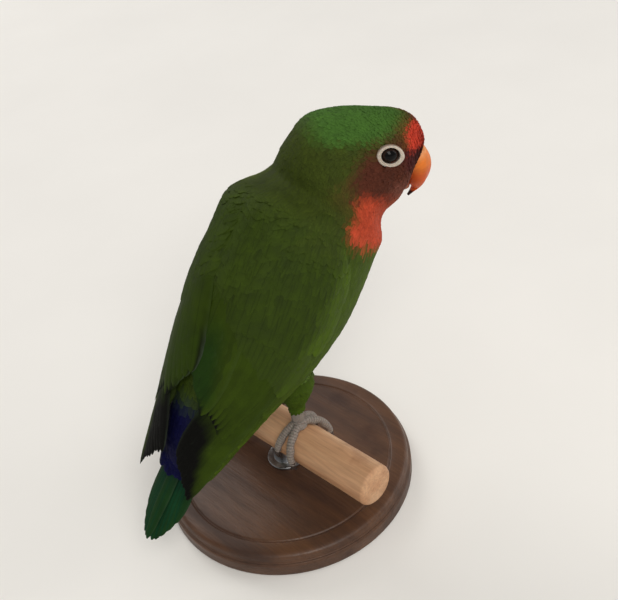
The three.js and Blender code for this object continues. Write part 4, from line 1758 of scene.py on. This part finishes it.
@dataclass
class Tail:
    """Rounded tail: six pairs of feathers with coverts above and below."""

    steps: tuple[float, ...] = (0.0, 0.3, 1.1, 2.7, 5.0, 8.0)
    seed: int = 31

    def build(self) -> Object:
        """The joined tail feathers and their long coverts.

        Returns:
            The piece.
        """
        rng = np.random.default_rng(self.seed)
        surface = TailSurface()
        batches = []
        for k in range(len(self.steps) - 1, -1, -1):
            for side in ((-1.0, 1.0) if k else (0.0,)):
                aside = side * (0.3 + 1.28 * k)
                root = np.array([[0.0, 0.72 * aside]])
                tip = np.array([[TAIL_LENGTH - self.steps[k], aside]])
                rise = 0.75 if k == 0 else 0.3 - 0.08 * k
                place = (2 * k + (side > 0)) / 24
                layer = VaneLayer(surface, FLIGHT, root, tip, np.array([2.35]), rise, rise - 0.35,
                                  tilt=0.26 * side, sheet=(place, place + 1 / 24))
                batches.append(layer.build(np.zeros((1, 3)), rng, self.paint))
        batches.append(self.coverts(surface, rng, False))
        batches.append(self.coverts(surface, rng, True))
        return put_batch("tail_feathers", join_batches(batches))

    def paint(self, along: Array, aside: Array, t: Array, x: Array) -> Array:
        """Colours of the tail feathers: teal green, darker inner webs and a bluish root.

        Args:
            along: Lengths from the root.
            aside: Places aside.
            t: Shares along the feather.
            x: Places across it.

        Returns:
            Linear colours.
        """
        inner = smooth(-x * np.sign(aside), -0.2, 0.3)
        color = mix(Tone.TAIL.rgb, Tone.TEAL.rgb, 0.6 * inner)
        color = mix(color, Tone.RUMP.rgb, 0.7 * (1 - smooth(along, 9, 18)))
        return mix(color, Tone.EDGE.rgb, 0.14 * smooth(np.abs(x), 0.85, 1.0))

    def coverts(self, surface: TailSurface, rng: Rng, under: bool) -> Batch:
        """Rows of long soft feathers over or under the tail's root.

        Args:
            surface: The tail's sheet.
            rng: Random source.
            under: Whether they lie underneath.

        Returns:
            The joined feathers.
        """
        roots, tips, h0, h1 = [], [], [], []
        for row in range(5):
            count = 9 - row % 2
            start = -3.0 + 2.1 * (4 - row)
            aside = np.linspace(-8.2, 8.2, count) * (1 - 0.045 * (4 - row))
            length = 10.5 + rng.normal(0, 0.5, count) - 0.25 * np.abs(aside)
            roots.append(np.stack([np.full(count, start) + rng.normal(0, 0.3, count), aside], -1))
            tips.append(np.stack([start + length, aside * 0.93], -1))
            lift = 0.35 * row
            if under:
                base = 3.4 + 0.5 * row - 0.02 * aside**2
                h0.append(base + 0.3)
                h1.append(base + 1.0 - 0.1 * (start + 8))
            else:
                h0.append(0.5 + lift + 0 * aside)
                h1.append(1.3 + lift + 0 * aside)
        root, tip = np.concatenate(roots), np.concatenate(tips)
        layer = VaneLayer(surface, COVERT, root, tip, np.full(len(root), 2.3), np.concatenate(h0),
                          np.concatenate(h1), under=under)
        tone = Tone.BELLY.rgb if under else Tone.RUMP.rgb
        return layer.build(np.tile(tone, (len(root), 1)), rng)


@dataclass
class Eye:
    """Eyeball with its ring of bare skin, sunk in the side of the head.

    The opening is an oval whose long axis dips towards the bill.
    """

    side: Side
    dip: float = math.radians(25.0)
    shift: Pair = (-0.2, 0.28)
    narrow: float = 0.86
    steps: int = 144
    surface: BodySurface = field(default_factory=BodySurface)

    def axes(self) -> tuple[Array, Array, Array, Array]:
        """Middle of the eye on the head's side, the way it looks, and its long and short axes.

        Returns:
            Place, look, long axis and short axis.
        """
        u, angle = np.meshgrid(np.linspace(9, 13.5, 241), np.linspace(0.3, 0.8, 161) * math.pi, indexing="ij")
        p = self.surface.straight(u, angle)
        aim = HEAD.points(*EYE_PLACE, 0.0)
        miss = np.hypot(p[..., 0] - aim[0], p[..., 2] - aim[2])
        bare = p[np.unravel_index(miss.argmin(), miss.shape)].copy()
        bare[1] *= self.side.value
        f, up, out = EYE_AIM
        far = HEAD.points(f, up, self.side.value * out) - HEAD.points(0.0, 0.0, 0.0) + bare
        place = turned(bare)
        look = unit(turned(far) - place)
        ahead = turned(bare + HEAD.forward) - place
        first = unit(ahead - look * (ahead @ look))
        second = np.cross(look, first) * -self.side.value
        first, second = (math.cos(self.dip) * first - math.sin(self.dip) * second,
                         math.sin(self.dip) * first + math.cos(self.dip) * second)
        return place, look, first, second

    def ball(self) -> Object:
        """Front of the eye: a sphere with a slightly fuller cornea, dark iris and pupil.

        Returns:
            The piece.
        """
        place, look, first, second = self.axes()
        t = np.linspace(0, math.pi, 40)[1:-1, None]
        a = ring_angles(48)[None, :]
        radius = EYE_RADIUS * (1 + 0.03 * (1 - smooth(t, 0.0, 0.55)))
        out = radius * np.cos(t) + 0 * a
        wide = EYE_RADIUS * np.sin(t)
        middle = place - look * EYE_DEPTH + self.shift[0] * first + self.shift[1] * second
        rings = middle + out[..., None] * look + (wide * np.cos(a))[..., None] * first
        rings = rings + (self.narrow * wide * np.sin(a))[..., None] * second
        obj = put_closed(f"eyeball_{self.side.label}", rings)
        off = np.concatenate([np.broadcast_to(wide, out.shape).ravel(), [0.0, 0.0]])
        color = mix(Tone.PUPIL.rgb, Tone.IRIS.rgb, smooth(off, 1.55, 1.8))
        put_color(obj, mix(color, Tone.EYE_RIM.rgb, smooth(off, 2.2, 2.45)))
        return obj

    def ring(self) -> Object:
        """Bare ring: an inner lid rim, a raised fold and a wrinkled outer slope.

        Its profile runs from under the lid over the rim and down below the coat, and is drawn in
        across the short axis. The outline is pulled out at both corners, and fine folds cross it.

        Returns:
            The piece.
        """
        place, look, first, second = self.axes()
        rng = np.random.default_rng(41)
        profile = np.array([[2.46, 0.0], [2.5, 0.3], [2.58, 0.52], [2.7, 0.66], [2.84, 0.7], [2.96, 0.64],
                            [3.06, 0.6], [3.2, 0.63], [3.4, 0.61], [3.6, 0.52], [3.8, 0.36], [3.96, 0.12],
                            [4.06, -0.3], [4.1, -0.9], [3.6, -1.3], [2.8, -1.2], [2.46, -0.6]])
        a = ring_angles(self.steps)[:, None]
        r = profile[None, :, 0]
        rear = bell(a - math.pi, 0.3)
        front = bell(np.minimum(a, FULL - a), 0.34)
        corners = 1 + 0.02 * rear * smooth(r, 2.2, 4.0) + 0.03 * front
        wide = r * corners * np.interp(r, (2.4, 4.1), (1.03, 0.975))
        short = r * np.interp(r, (2.4, 4.1), (0.85, 0.75))
        inward = 1 - smooth(r, 2.6, 3.9)
        ripple = 0.03 * np.sin(30 * a + 4 * r) + 0.02 * np.sin(47 * a - 3 * r)
        ripple = ripple + 0.012 * rng.normal(0, 1, (self.steps, 1))
        height = profile[None, :, 1] + ripple * smooth(r, 2.7, 3.1) * (profile[None, :, 1] > -0.2)
        points = place + (wide * np.cos(a) + self.shift[0] * inward)[..., None] * first
        points = points + (short * np.sin(a) + self.shift[1] * inward)[..., None] * second
        points = points + height[..., None] * look
        faces = grid_faces(self.steps, len(profile), loop=True)
        obj = put_mesh(f"eye_ring_skin_{self.side.label}", points.reshape(-1, 3), [faces])
        face_outward(obj)
        tone = np.broadcast_to(r, wide.shape).ravel()
        color = mix(Tone.LID.rgb, Tone.RING.rgb, smooth(tone, 2.5, 2.75))
        color = mix(color, Tone.RING_FOLD.rgb, 0.7 * bell(tone - 3.05, 0.09))
        put_color(obj, mix(color, Tone.RING_EDGE.rgb, smooth(tone, 3.75, 4.1)))
        return obj


@dataclass
class Bill:
    """Hooked upper bill with a cere and nostrils, and the short lower bill behind it."""

    def loft(self, stations: tuple[tuple, ...], rows: int, around: int) -> tuple[Array, Array, Array]:
        """Rings through sections in the head frame.

        Args:
            stations: Frame, lower and upper point, half width and widest share of each section.
            rows: Rings along it.
            around: Points round a ring.

        Returns:
            Straight rings, the share along for each ring, and the angles.
        """
        t = np.linspace(0, 1, rows)[:, None]
        angle = ring_angles(around)[None, :]
        tt, aa = np.broadcast_arrays(t, angle)
        rings = section(spline(section_rows(stations), tt * (len(stations) - 1)), aa, np.zeros(tt.shape))
        return rings, tt, aa

    def off_nostril(self, f: Array, up: Array, y: Array) -> Array:
        """Distances from the middle of the nostril on the side that y counts towards."""
        return np.sqrt((f - NOSTRIL[0]) ** 2 + (up - NOSTRIL[1]) ** 2 + (y - NOSTRIL[2]) ** 2)

    def upper(self) -> Object:
        """Upper bill: keeled culmen, nostril dents, cutting edge and a dark tip.

        Returns:
            The piece.
        """
        rings, t, angle = self.loft(UPPER_BILL, 110, 96)
        middle = rings.mean(1, keepdims=True)
        keel = 0.22 * bell(angle - math.pi, 0.35) * smooth(t, 0.15, 0.5)
        flat = -0.35 * bell(np.abs(angle - math.pi) - 1.1, 0.35) * smooth(t, 0.2, 0.5)
        out = rings - middle
        reach = np.linalg.norm(out, axis=-1, keepdims=True)
        away = out / np.maximum(reach, 0.3)
        rings = rings + away * ((keel + flat) * (1 - smooth(t, 0.85, 1.0)))[..., None]
        f, up = HEAD.places(rings)
        rings = rings.copy()
        for side in (-1.0, 1.0):
            hole = self.off_nostril(f, up, rings[..., 1] * side)
            dent = 0.2 * bell(hole - 1.25, 0.4) - 1.1 * bell(hole, 0.62)
            rings = rings + away * dent[..., None]
        ahead = BROW_REACH * HEAD.forward
        obj = put_closed("bill_upper_horn", turned(rings + ahead))
        t1, f1, up1 = t.ravel(), f.ravel(), up.ravel()
        color = mix(Tone.CERE.rgb, Tone.BILL.rgb, smooth(-up1, 4.6, 8.2))
        color = mix(color, Tone.BILL_LOW.rgb, smooth(-up1, 8.5, 13.0))
        side_low = smooth(19.8 - f1 + 0.25 * (up1 + 8), 3.5, 7.0) * smooth(-up1, 7, 11)
        color = mix(color, Tone.BILL_SIDE.rgb, 0.5 * side_low)
        color = mix(color, Tone.BILL_TIP.rgb, smooth(t1, 0.8, 0.9))
        hole = self.off_nostril(f1, up1, np.abs(rings[..., 1].ravel()))
        color = mix(color, Tone.NOSTRIL.rgb, 1 - smooth(hole, 0.4, 0.85))
        put_color(obj, capped(color))
        return obj

    def lower(self) -> Object:
        """Lower bill: a short scoop that closes behind the upper one.

        Returns:
            The piece.
        """
        rings, t, _ = self.loft(LOWER_BILL, 40, 64)
        ahead = 0.6 * HEAD.forward
        obj = put_closed("bill_lower_horn", turned(rings + ahead))
        color = mix(Tone.LOWER_BILL.rgb, Tone.LOWER_TIP.rgb, smooth(t.ravel(), 0.5, 1.0))
        put_color(obj, capped(color))
        return obj


@dataclass
class Leg:
    """Feathered thigh, bare scaled shank, and the foot with two toes ahead and two behind."""

    side: Side
    seed: int
    scutes: int = 17
    rings: int = 133
    around: int = 24
    toe_radius: float = 1.35
    claw_length: float = 4.6
    toes: tuple[Triple, ...] = ((1.6, 4.2, 98), (-1.4, -2.4, 88), (1.5, 3.6, -96), (-1.3, -2.6, -80))

    def thigh(self) -> Object:
        """Skin of the leg down to the ankle.

        Returns:
            The piece.
        """
        surface = LegSurface(self.side)
        t = np.linspace(0, 1, 60)[:, None]
        a = ring_angles(48)[None, :]
        scales = 0.1 * np.abs(np.sin(t * 60)) * smooth(t, 0.7, 0.78)
        inset = -0.9 * (1 - smooth(t, 0.55, 0.75)) + scales * (0.5 + 0.5 * np.cos(a))
        rings = surface.point(t + 0 * a, a + 0 * t, inset)
        obj = put_closed(f"leg_skin_{self.side.label}", rings)
        tt = np.concatenate([np.broadcast_to(t, inset.shape).ravel(), [0.0, 1.0]])
        put_color(obj, mix(Tone.BELLY.rgb, Tone.SHANK.rgb, smooth(tt, 0.6, 0.72)))
        return obj

    def tufts(self) -> Object:
        """Soft short feathers round the thigh, pointing down to the shank.

        Returns:
            The piece.
        """
        rng = np.random.default_rng(self.seed)
        t = np.repeat(np.linspace(0.0, 0.62, 15), 22) + rng.normal(0, 0.012, 15 * 22)
        a = np.tile(np.arange(22) * FULL / 22, 15) + np.repeat(np.arange(15) % 2, 22) * math.pi / 22
        a = a + rng.normal(0, 0.05, len(a))
        t = np.clip(t, 0, 0.66)
        length = rng.uniform(2.6, 3.6, len(t)) / 17.3
        root, tip = np.stack([t, a], -1), np.stack([t + length, a + rng.normal(0, 0.06, len(a))], -1)
        layer = VaneLayer(LegSurface(self.side), SMALL, root, tip, np.interp(t, (0, 0.6), (1.5, 1.0)), -1.1,
                          np.interp(t, (0, 0.5, 0.66), (0.2, 0.3, 0.5)))
        tone = np.tile(0.72 * Tone.BREAST.rgb, (len(t), 1))
        return put_batch(f"leg_coat_{self.side.label}", layer.build(tone, rng))

    def toe(self, start: float, end: float, arc: float) -> tuple[Array, Array]:
        """Rings of one toe and of its claw, bent round the perch.

        The toe's radius swells at its pads and carries small scale ridges on top. The claw is a
        cone that curves a little more tightly than the perch.

        Args:
            start: Place aside at its root.
            end: Place aside at its tip.
            arc: Reach round the perch in degrees, forward or back.

        Returns:
            Rings of the toe and of the claw.
        """
        radius = PERCH_RADIUS + FOOT_GAP + self.toe_radius
        sign, far = math.copysign(1, arc), abs(arc)
        middle = self.side.value * LEG_SPREAD
        t = np.linspace(0, 1, self.rings)
        d = np.radians(far * t)
        aside = start * 0.4 + (end - start * 0.4) * t
        y = middle + self.side.value * aside
        path = np.stack([sign * radius * np.sin(d), y, PERCH_AXIS + radius * np.cos(d)], -1)
        angle = ring_angles(self.around)[None, :]
        pads = 1.2 - 0.16 * t - 0.18 * smooth(t, 0.82, 1.0)
        outward = path - np.array([0.0, 0.0, PERCH_AXIS])
        outward[:, 1] = 0
        saw = np.mod(t * self.scutes, 1.0)
        plates = 0.3 * (np.sqrt(np.clip(1 - (2 * saw - 1) ** 4, 0, 1)) - 0.35)[:, None]
        plates = plates * smooth(np.cos(angle), -0.2, 0.5)
        cushion = 0.16 * np.cos(FULL * 3 * t)[:, None] * smooth(-np.cos(angle), 0.0, 0.7)
        toe = sweep(path, pads[:, None] + plates + cushion, self.around, unit(outward))
        c = np.linspace(0, 1, 28)
        d = np.radians(far - 7) + c * self.claw_length / radius
        out = radius + 0.55 * np.sin(math.pi * c) - 0.3 * c
        end_y = middle + self.side.value * end
        line = np.stack([sign * out * np.sin(d), np.full(28, end_y), PERCH_AXIS + out * np.cos(d)], -1)
        claw = sweep(line, 0.86 * (1 - c**1.4) + 0.06, 20, ASIDE)
        return toe, claw

    def grooves(self, points: Array, tone: Array) -> Array:
        """Toe colours: darker in the grooves between the scutes, a power of the place in each.

        Args:
            points: Points of the toe.
            tone: Colour.

        Returns:
            A colour a point.
        """
        t = np.clip(np.arange(len(points)) // self.around / (self.rings - 1), 0, 1)
        saw = np.abs(2 * np.mod(t * self.scutes, 1.0) - 1)
        return tone * (1.12 - 0.62 * saw**5)[:, None]

    def foot(self) -> tuple[Object, Object]:
        """Joined toes with the short post under the ankle, and the joined claws.

        Returns:
            The toes and the claws.
        """
        toes, claws = [], []
        for start, end, arc in self.toes:
            toe, claw = self.toe(start, end, arc)
            toes.append(capped_rings(toe))
            claws.append(capped_rings(claw))
        z = np.linspace(ANKLE, PERCH_TOP + 0.7, 24)
        path = np.stack([0 * z, np.full(24, self.side.value * LEG_SPREAD), z], -1)
        post = 1.98 + 0.5 * smooth(-z, -30.4, -28.9) + 0.06 * np.abs(np.sin(z * 5))
        toes.append(capped_rings(sweep(path, post, 32, ASIDE)))
        out = []
        for name, pieces, tone in (("foot_skin", toes, Tone.TOE.rgb), ("claws", claws, Tone.CLAW.rgb)):
            start, points, quads, tris, colors = 0, [], [], [], []
            for p, groups in pieces:
                points.append(p)
                scaled = name == "foot_skin" and len(p) > 1000
                colors.append(self.grooves(p, tone) if scaled else np.tile(tone, (len(p), 1)))
                quads.append(groups[0] + start)
                tris.append(groups[1] + start)
                start += len(p)
            faces = [np.concatenate(quads), np.concatenate(tris)]
            obj = put_mesh(f"{name}_{self.side.label}", np.concatenate(points), faces)
            face_outward(obj)
            put_color(obj, np.concatenate(colors))
            out.append(obj)
        return out[0], out[1]


@dataclass
class Perch:
    """Short peeled stick: round, with slight flats, knots and softened ends."""

    def build(self) -> Object:
        """Closed stick whose radius varies gently along and around it.

        Returns:
            The piece.
        """
        flat = PERCH_HALF - 0.9
        ends = PERCH_HALF - np.array([0.4, 0.1, 0.0])
        y = np.concatenate([-ends[::-1], np.linspace(-flat, flat, 220), ends])[:, None]
        a = ring_angles(96)[None, :]
        end = np.clip((np.abs(y) - flat) / 0.9, 0, 1)
        radius = PERCH_RADIUS - 0.06 + 0.05 * np.sin(2 * a + y / 14) + 0.04 * np.sin(y / 5 + 3 * a)
        for where, turn, size in ((-27, 1.2, 0.28), (19, 4.4, 0.24), (31, 2.4, 0.2)):
            off = np.mod(a - turn + math.pi, FULL) - math.pi
            radius = radius + size * bell(y - where, 2.6) * bell(off, 0.34)
        radius = np.minimum(radius, PERCH_RADIUS + 0.2) * (1 - 0.13 * end**2)
        near = np.exp(-((np.abs(y) - LEG_SPREAD) / 5.0) ** 6)
        radius = np.minimum(radius, PERCH_RADIUS + 0.2 - 0.2 * near)
        rings = np.stack([radius * np.cos(a), y + 0 * a, PERCH_AXIS + radius * np.sin(a)], -1)
        return put_closed("perch_stick", rings)


@dataclass
class Stand:
    """Steel rod and a turned wooden base."""

    def lathe(self, name: str, profile: list[Pair], around: int) -> Object:
        """Round body from a profile of radius and height, closed at both poles.

        Args:
            name: Object name.
            profile: Radius and height of each row.
            around: Points in a ring.

        Returns:
            The piece.
        """
        line = np.array(profile, float)
        a = ring_angles(around)
        r, z = line[:, 0, None], line[:, 1, None]
        return put_closed(name, np.stack([r * np.cos(a), r * np.sin(a), z + 0 * a], -1))

    def rounded(self, corners: list[Triple], steps: int = 6) -> list[Pair]:
        """Profile with its corners rounded by quadratic curves of the given radius.

        Args:
            corners: Place and radius of each corner.
            steps: Points a corner.

        Returns:
            Radius and height of each row.
        """
        out = [corners[0][:2]]
        for (x0, y0, _), (x1, y1, r), (x2, y2, _) in zip(corners, corners[1:], corners[2:]):
            a = np.array([x0 - x1, y0 - y1], float)
            b = np.array([x2 - x1, y2 - y1], float)
            a *= r / np.linalg.norm(a)
            b *= r / np.linalg.norm(b)
            for t in np.linspace(0, 1, steps):
                p = np.array([x1, y1]) + a * (1 - t) ** 2 + b * t**2
                out.append((float(p[0]), float(p[1])))
        out.append(corners[-1][:2])
        return out

    def base(self) -> Object:
        """Base with a foot ring, a rounded shoulder and a shallow groove.

        Returns:
            The piece.
        """
        r, h = BASE_RADIUS, BASE_THICKNESS
        corners = [(0.5, 0, 0), (r - 0.4, 0, 0.4), (r, 0.5, 0.3), (r, 4.6, 0.6), (r - 0.9, 5.2, 0.5),
                   (r - 0.9, h - 0.4, 1.6), (r - 4.0, h, 1.0), (r - 6.0, h, 0.3),
                   (r - 6.5, h - 0.45, 0.3), (r - 7.0, h, 0.3), (0.5, h, 0)]
        return self.lathe("stand_base_turned", self.rounded(corners), 160)

    def rod(self) -> Object:
        """Rod up to the perch, with a small washer at its foot.

        Returns:
            The piece.
        """
        top = PERCH_AXIS - PERCH_RADIUS + 0.15
        low = BASE_THICKNESS + 0.02
        corners = [(0.4, low, 0), (6.2, low, 0.2), (6.2, low + 0.9, 0.3), (ROD_RADIUS, low + 1.1, 0.2),
                   (ROD_RADIUS, top, 0.2), (0.4, top, 0)]
        return self.lathe("stand_rod_steel", self.rounded(corners), 72)


@dataclass
class Studio:
    """Camera at the photo's viewing angle, pale floor and soft lights."""

    target: Triple = (12.3, -10.7, 69.8)
    heading: float = 40.0
    elevation: float = 38.0
    roll: float = 10.5
    distance: float = 258.0
    focal: float = 910.0
    frame_width: float = 618.0
    sensor: float = 36.0
    lit: Triple = (0.01, -0.01, 0.07)
    floor_half: float = 3000.0
    sky: Triple = (1.0, 0.985, 0.965)
    sky_strength: float = 0.42

    def aim(self, obj: Object, *columns: Array) -> None:
        """Places an object by its three axes and its origin, the columns of its matrix.

        Args:
            obj: Camera or light.
            columns: The axes and the origin.
        """
        matrix = np.eye(4)
        matrix[:3] = np.stack(columns, 1)
        obj.matrix_world = Matrix(matrix.tolist())

    def camera(self) -> None:
        """Camera that looks at the target, with the focal length in pixels of the frame."""
        h, e, r = (math.radians(v) for v in (self.heading, self.elevation, self.roll))
        view = np.array([math.sin(h) * math.cos(e), math.cos(h) * math.cos(e), -math.sin(e)])
        level = np.array([math.cos(h), -math.sin(h), 0.0])
        up = np.cross(level, view)
        right = math.cos(r) * level - math.sin(r) * up
        top = math.sin(r) * level + math.cos(r) * up
        data = bpy.data.cameras.new("camera")
        data.sensor_fit = "HORIZONTAL"
        data.sensor_width = self.sensor
        data.lens = self.focal / self.frame_width * self.sensor
        data.clip_start = 0.01
        data.clip_end = 20.0
        obj = bpy.data.objects.new("camera", data)
        bpy.context.scene.collection.objects.link(obj)
        place = (np.array(self.target) - view * self.distance) * MM
        self.aim(obj, right, top, -view, place)
        bpy.context.scene.camera = obj

    def light(self, name: str, place: Triple, size: float, power: float, color: Triple) -> None:
        """Square area light that looks at the middle of the bird.

        Args:
            name: Object name.
            place: Where it stands, in metres.
            size: Side in metres.
            power: Power in watts.
            color: Colour.
        """
        data = bpy.data.lights.new(name, "AREA")
        data.size = size
        data.energy = power
        data.color = color
        obj = bpy.data.objects.new(name, data)
        bpy.context.scene.collection.objects.link(obj)
        where = np.array(place)
        back = unit(where - np.array(self.lit))
        side = unit(np.cross([0.0, 0.0, 1.0], back))
        self.aim(obj, side, np.cross(back, side), back, where)

    def build(self) -> None:
        """Floor, lights, world and camera."""
        self.camera()
        size = self.floor_half
        points = np.array([[-size, -size, 0], [size, -size, 0], [size, size, 0], [-size, size, 0]])
        floor = put_mesh("floor", points, [np.array([[0, 1, 2, 3]])])
        floor.data.materials.append(FloorFinish().make())
        floor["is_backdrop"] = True
        self.light("key", (-0.35, -0.75, 0.95), 0.6, 7.2, (1.0, 0.97, 0.92))
        self.light("fill", (0.9, -0.55, 0.5), 0.8, 3.6, (1.0, 0.98, 0.96))
        self.light("rim", (0.2, 0.95, 0.8), 0.6, 4.4, (1.0, 0.98, 0.95))
        world = bpy.data.worlds.new("studio")
        world.use_nodes = True
        sky = world.node_tree.nodes["Background"]
        sky.inputs[0].default_value = (*self.sky, 1.0)
        sky.inputs[1].default_value = self.sky_strength
        bpy.context.scene.world = world
        bpy.context.scene.view_settings.view_transform = "Standard"


def report(obj: Object) -> None:
    """Logs a piece with its triangle count."""
    LOG.info("%s: %d triangles", obj.name, sum(len(p.vertices) - 2 for p in obj.data.polygons))


def main() -> None:
    """Builds every piece in order and reports it."""
    logging.basicConfig(level=logging.INFO, format="%(message)s")
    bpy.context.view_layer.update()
    Studio().build()
    head = PlumageFinish("plumage_head", barbs=20.0, depth=0.1).make()
    body = PlumageFinish("plumage_body", barbs=24.0).make()
    flight = PlumageFinish("plumage_flight", barbs=30.0, depth=0.09, roughness=0.62, shine=0.05).make()
    under = SkinFinish().make()
    horn = HornFinish("bill_horn").make()
    claw = HornFinish("claw_horn", 0.3).make()
    ring_skin = BareSkinFinish("ring_skin", 2400.0, 0.00008).make()
    foot_skin = BareSkinFinish("foot_skin", 1300.0, 0.00025, 0.6).make()
    wet = EyeFinish().make()

    report(dress(Skin().build(), under, "plumage_body", "torso", "neck", "head"))
    coat = BodyCoat()
    report(dress(coat.layer("coat_head", NAPE_STATION, FACE, SMALL), head, "plumage_head"))
    report(dress(coat.layer("coat_neck", SHOULDER_STATION, NAPE_STATION, SMALL), head, "plumage_neck"))
    report(dress(coat.layer("coat_body", 0.1, SHOULDER_STATION, BODY), body, "plumage_body"))
    crossed = ((0.73, 0.97), (0.9, 1.03), 0.5)
    for side, seed, spread in ((Side.LEFT, 51, crossed), (Side.RIGHT, 61, ())):
        label = side.label
        pieces = Wing(side, seed, *spread).build()
        dress(pieces[0], under, "plumage_wing", f"wing_{label}")
        dress(pieces[1], flight, "plumage_wing")
        dress(pieces[2], body, "plumage_wing")
        eye = Eye(side)
        pieces += [dress(eye.ball(), wet, "eye", f"eye_{label}"),
                   dress(eye.ring(), ring_skin, "eye_ring_skin", f"eye_ring_{label}")]
        leg = Leg(side, seed + 5)
        foot, claws = leg.foot()
        pieces += [dress(leg.thigh(), foot_skin, "leg_plumage", f"leg_{label}"),
                   dress(leg.tufts(), body, "leg_plumage"),
                   dress(foot, foot_skin, "foot_skin", f"foot_{label}"), dress(claws, claw, "foot_skin")]
        for piece in pieces:
            report(piece)
    report(dress(Tail().build(), flight, "plumage_tail", "tail"))
    bill = Bill()
    report(dress(bill.upper(), horn, "bill_horn", "bill_upper"))
    report(dress(bill.lower(), horn, "bill_horn", "bill_lower"))
    peeled = WoodFinish("perch_wood", Tone.PEELED, Tone.PEELED_DARK, (1.0, 0.07, 1.0), 0.62)
    turned_wood = WoodFinish("base_wood", Tone.STAINED, Tone.STAINED_DARK, (1.0, 0.1, 1.0), 0.42)
    report(dress(Perch().build(), peeled.make(), "perch_wood", "perch"))
    stand = Stand()
    report(dress(stand.base(), turned_wood.make(), "stand_wood", "stand_base"))
    report(dress(stand.rod(), MetalFinish().make(), "stand_metal", "stand_rod"))
    total = sum(len(p.vertices) - 2 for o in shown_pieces() if o.type == "MESH" for p in o.data.polygons)
    LOG.info("all pieces: %d triangles", total)


if __name__ == "__main__":
    main()
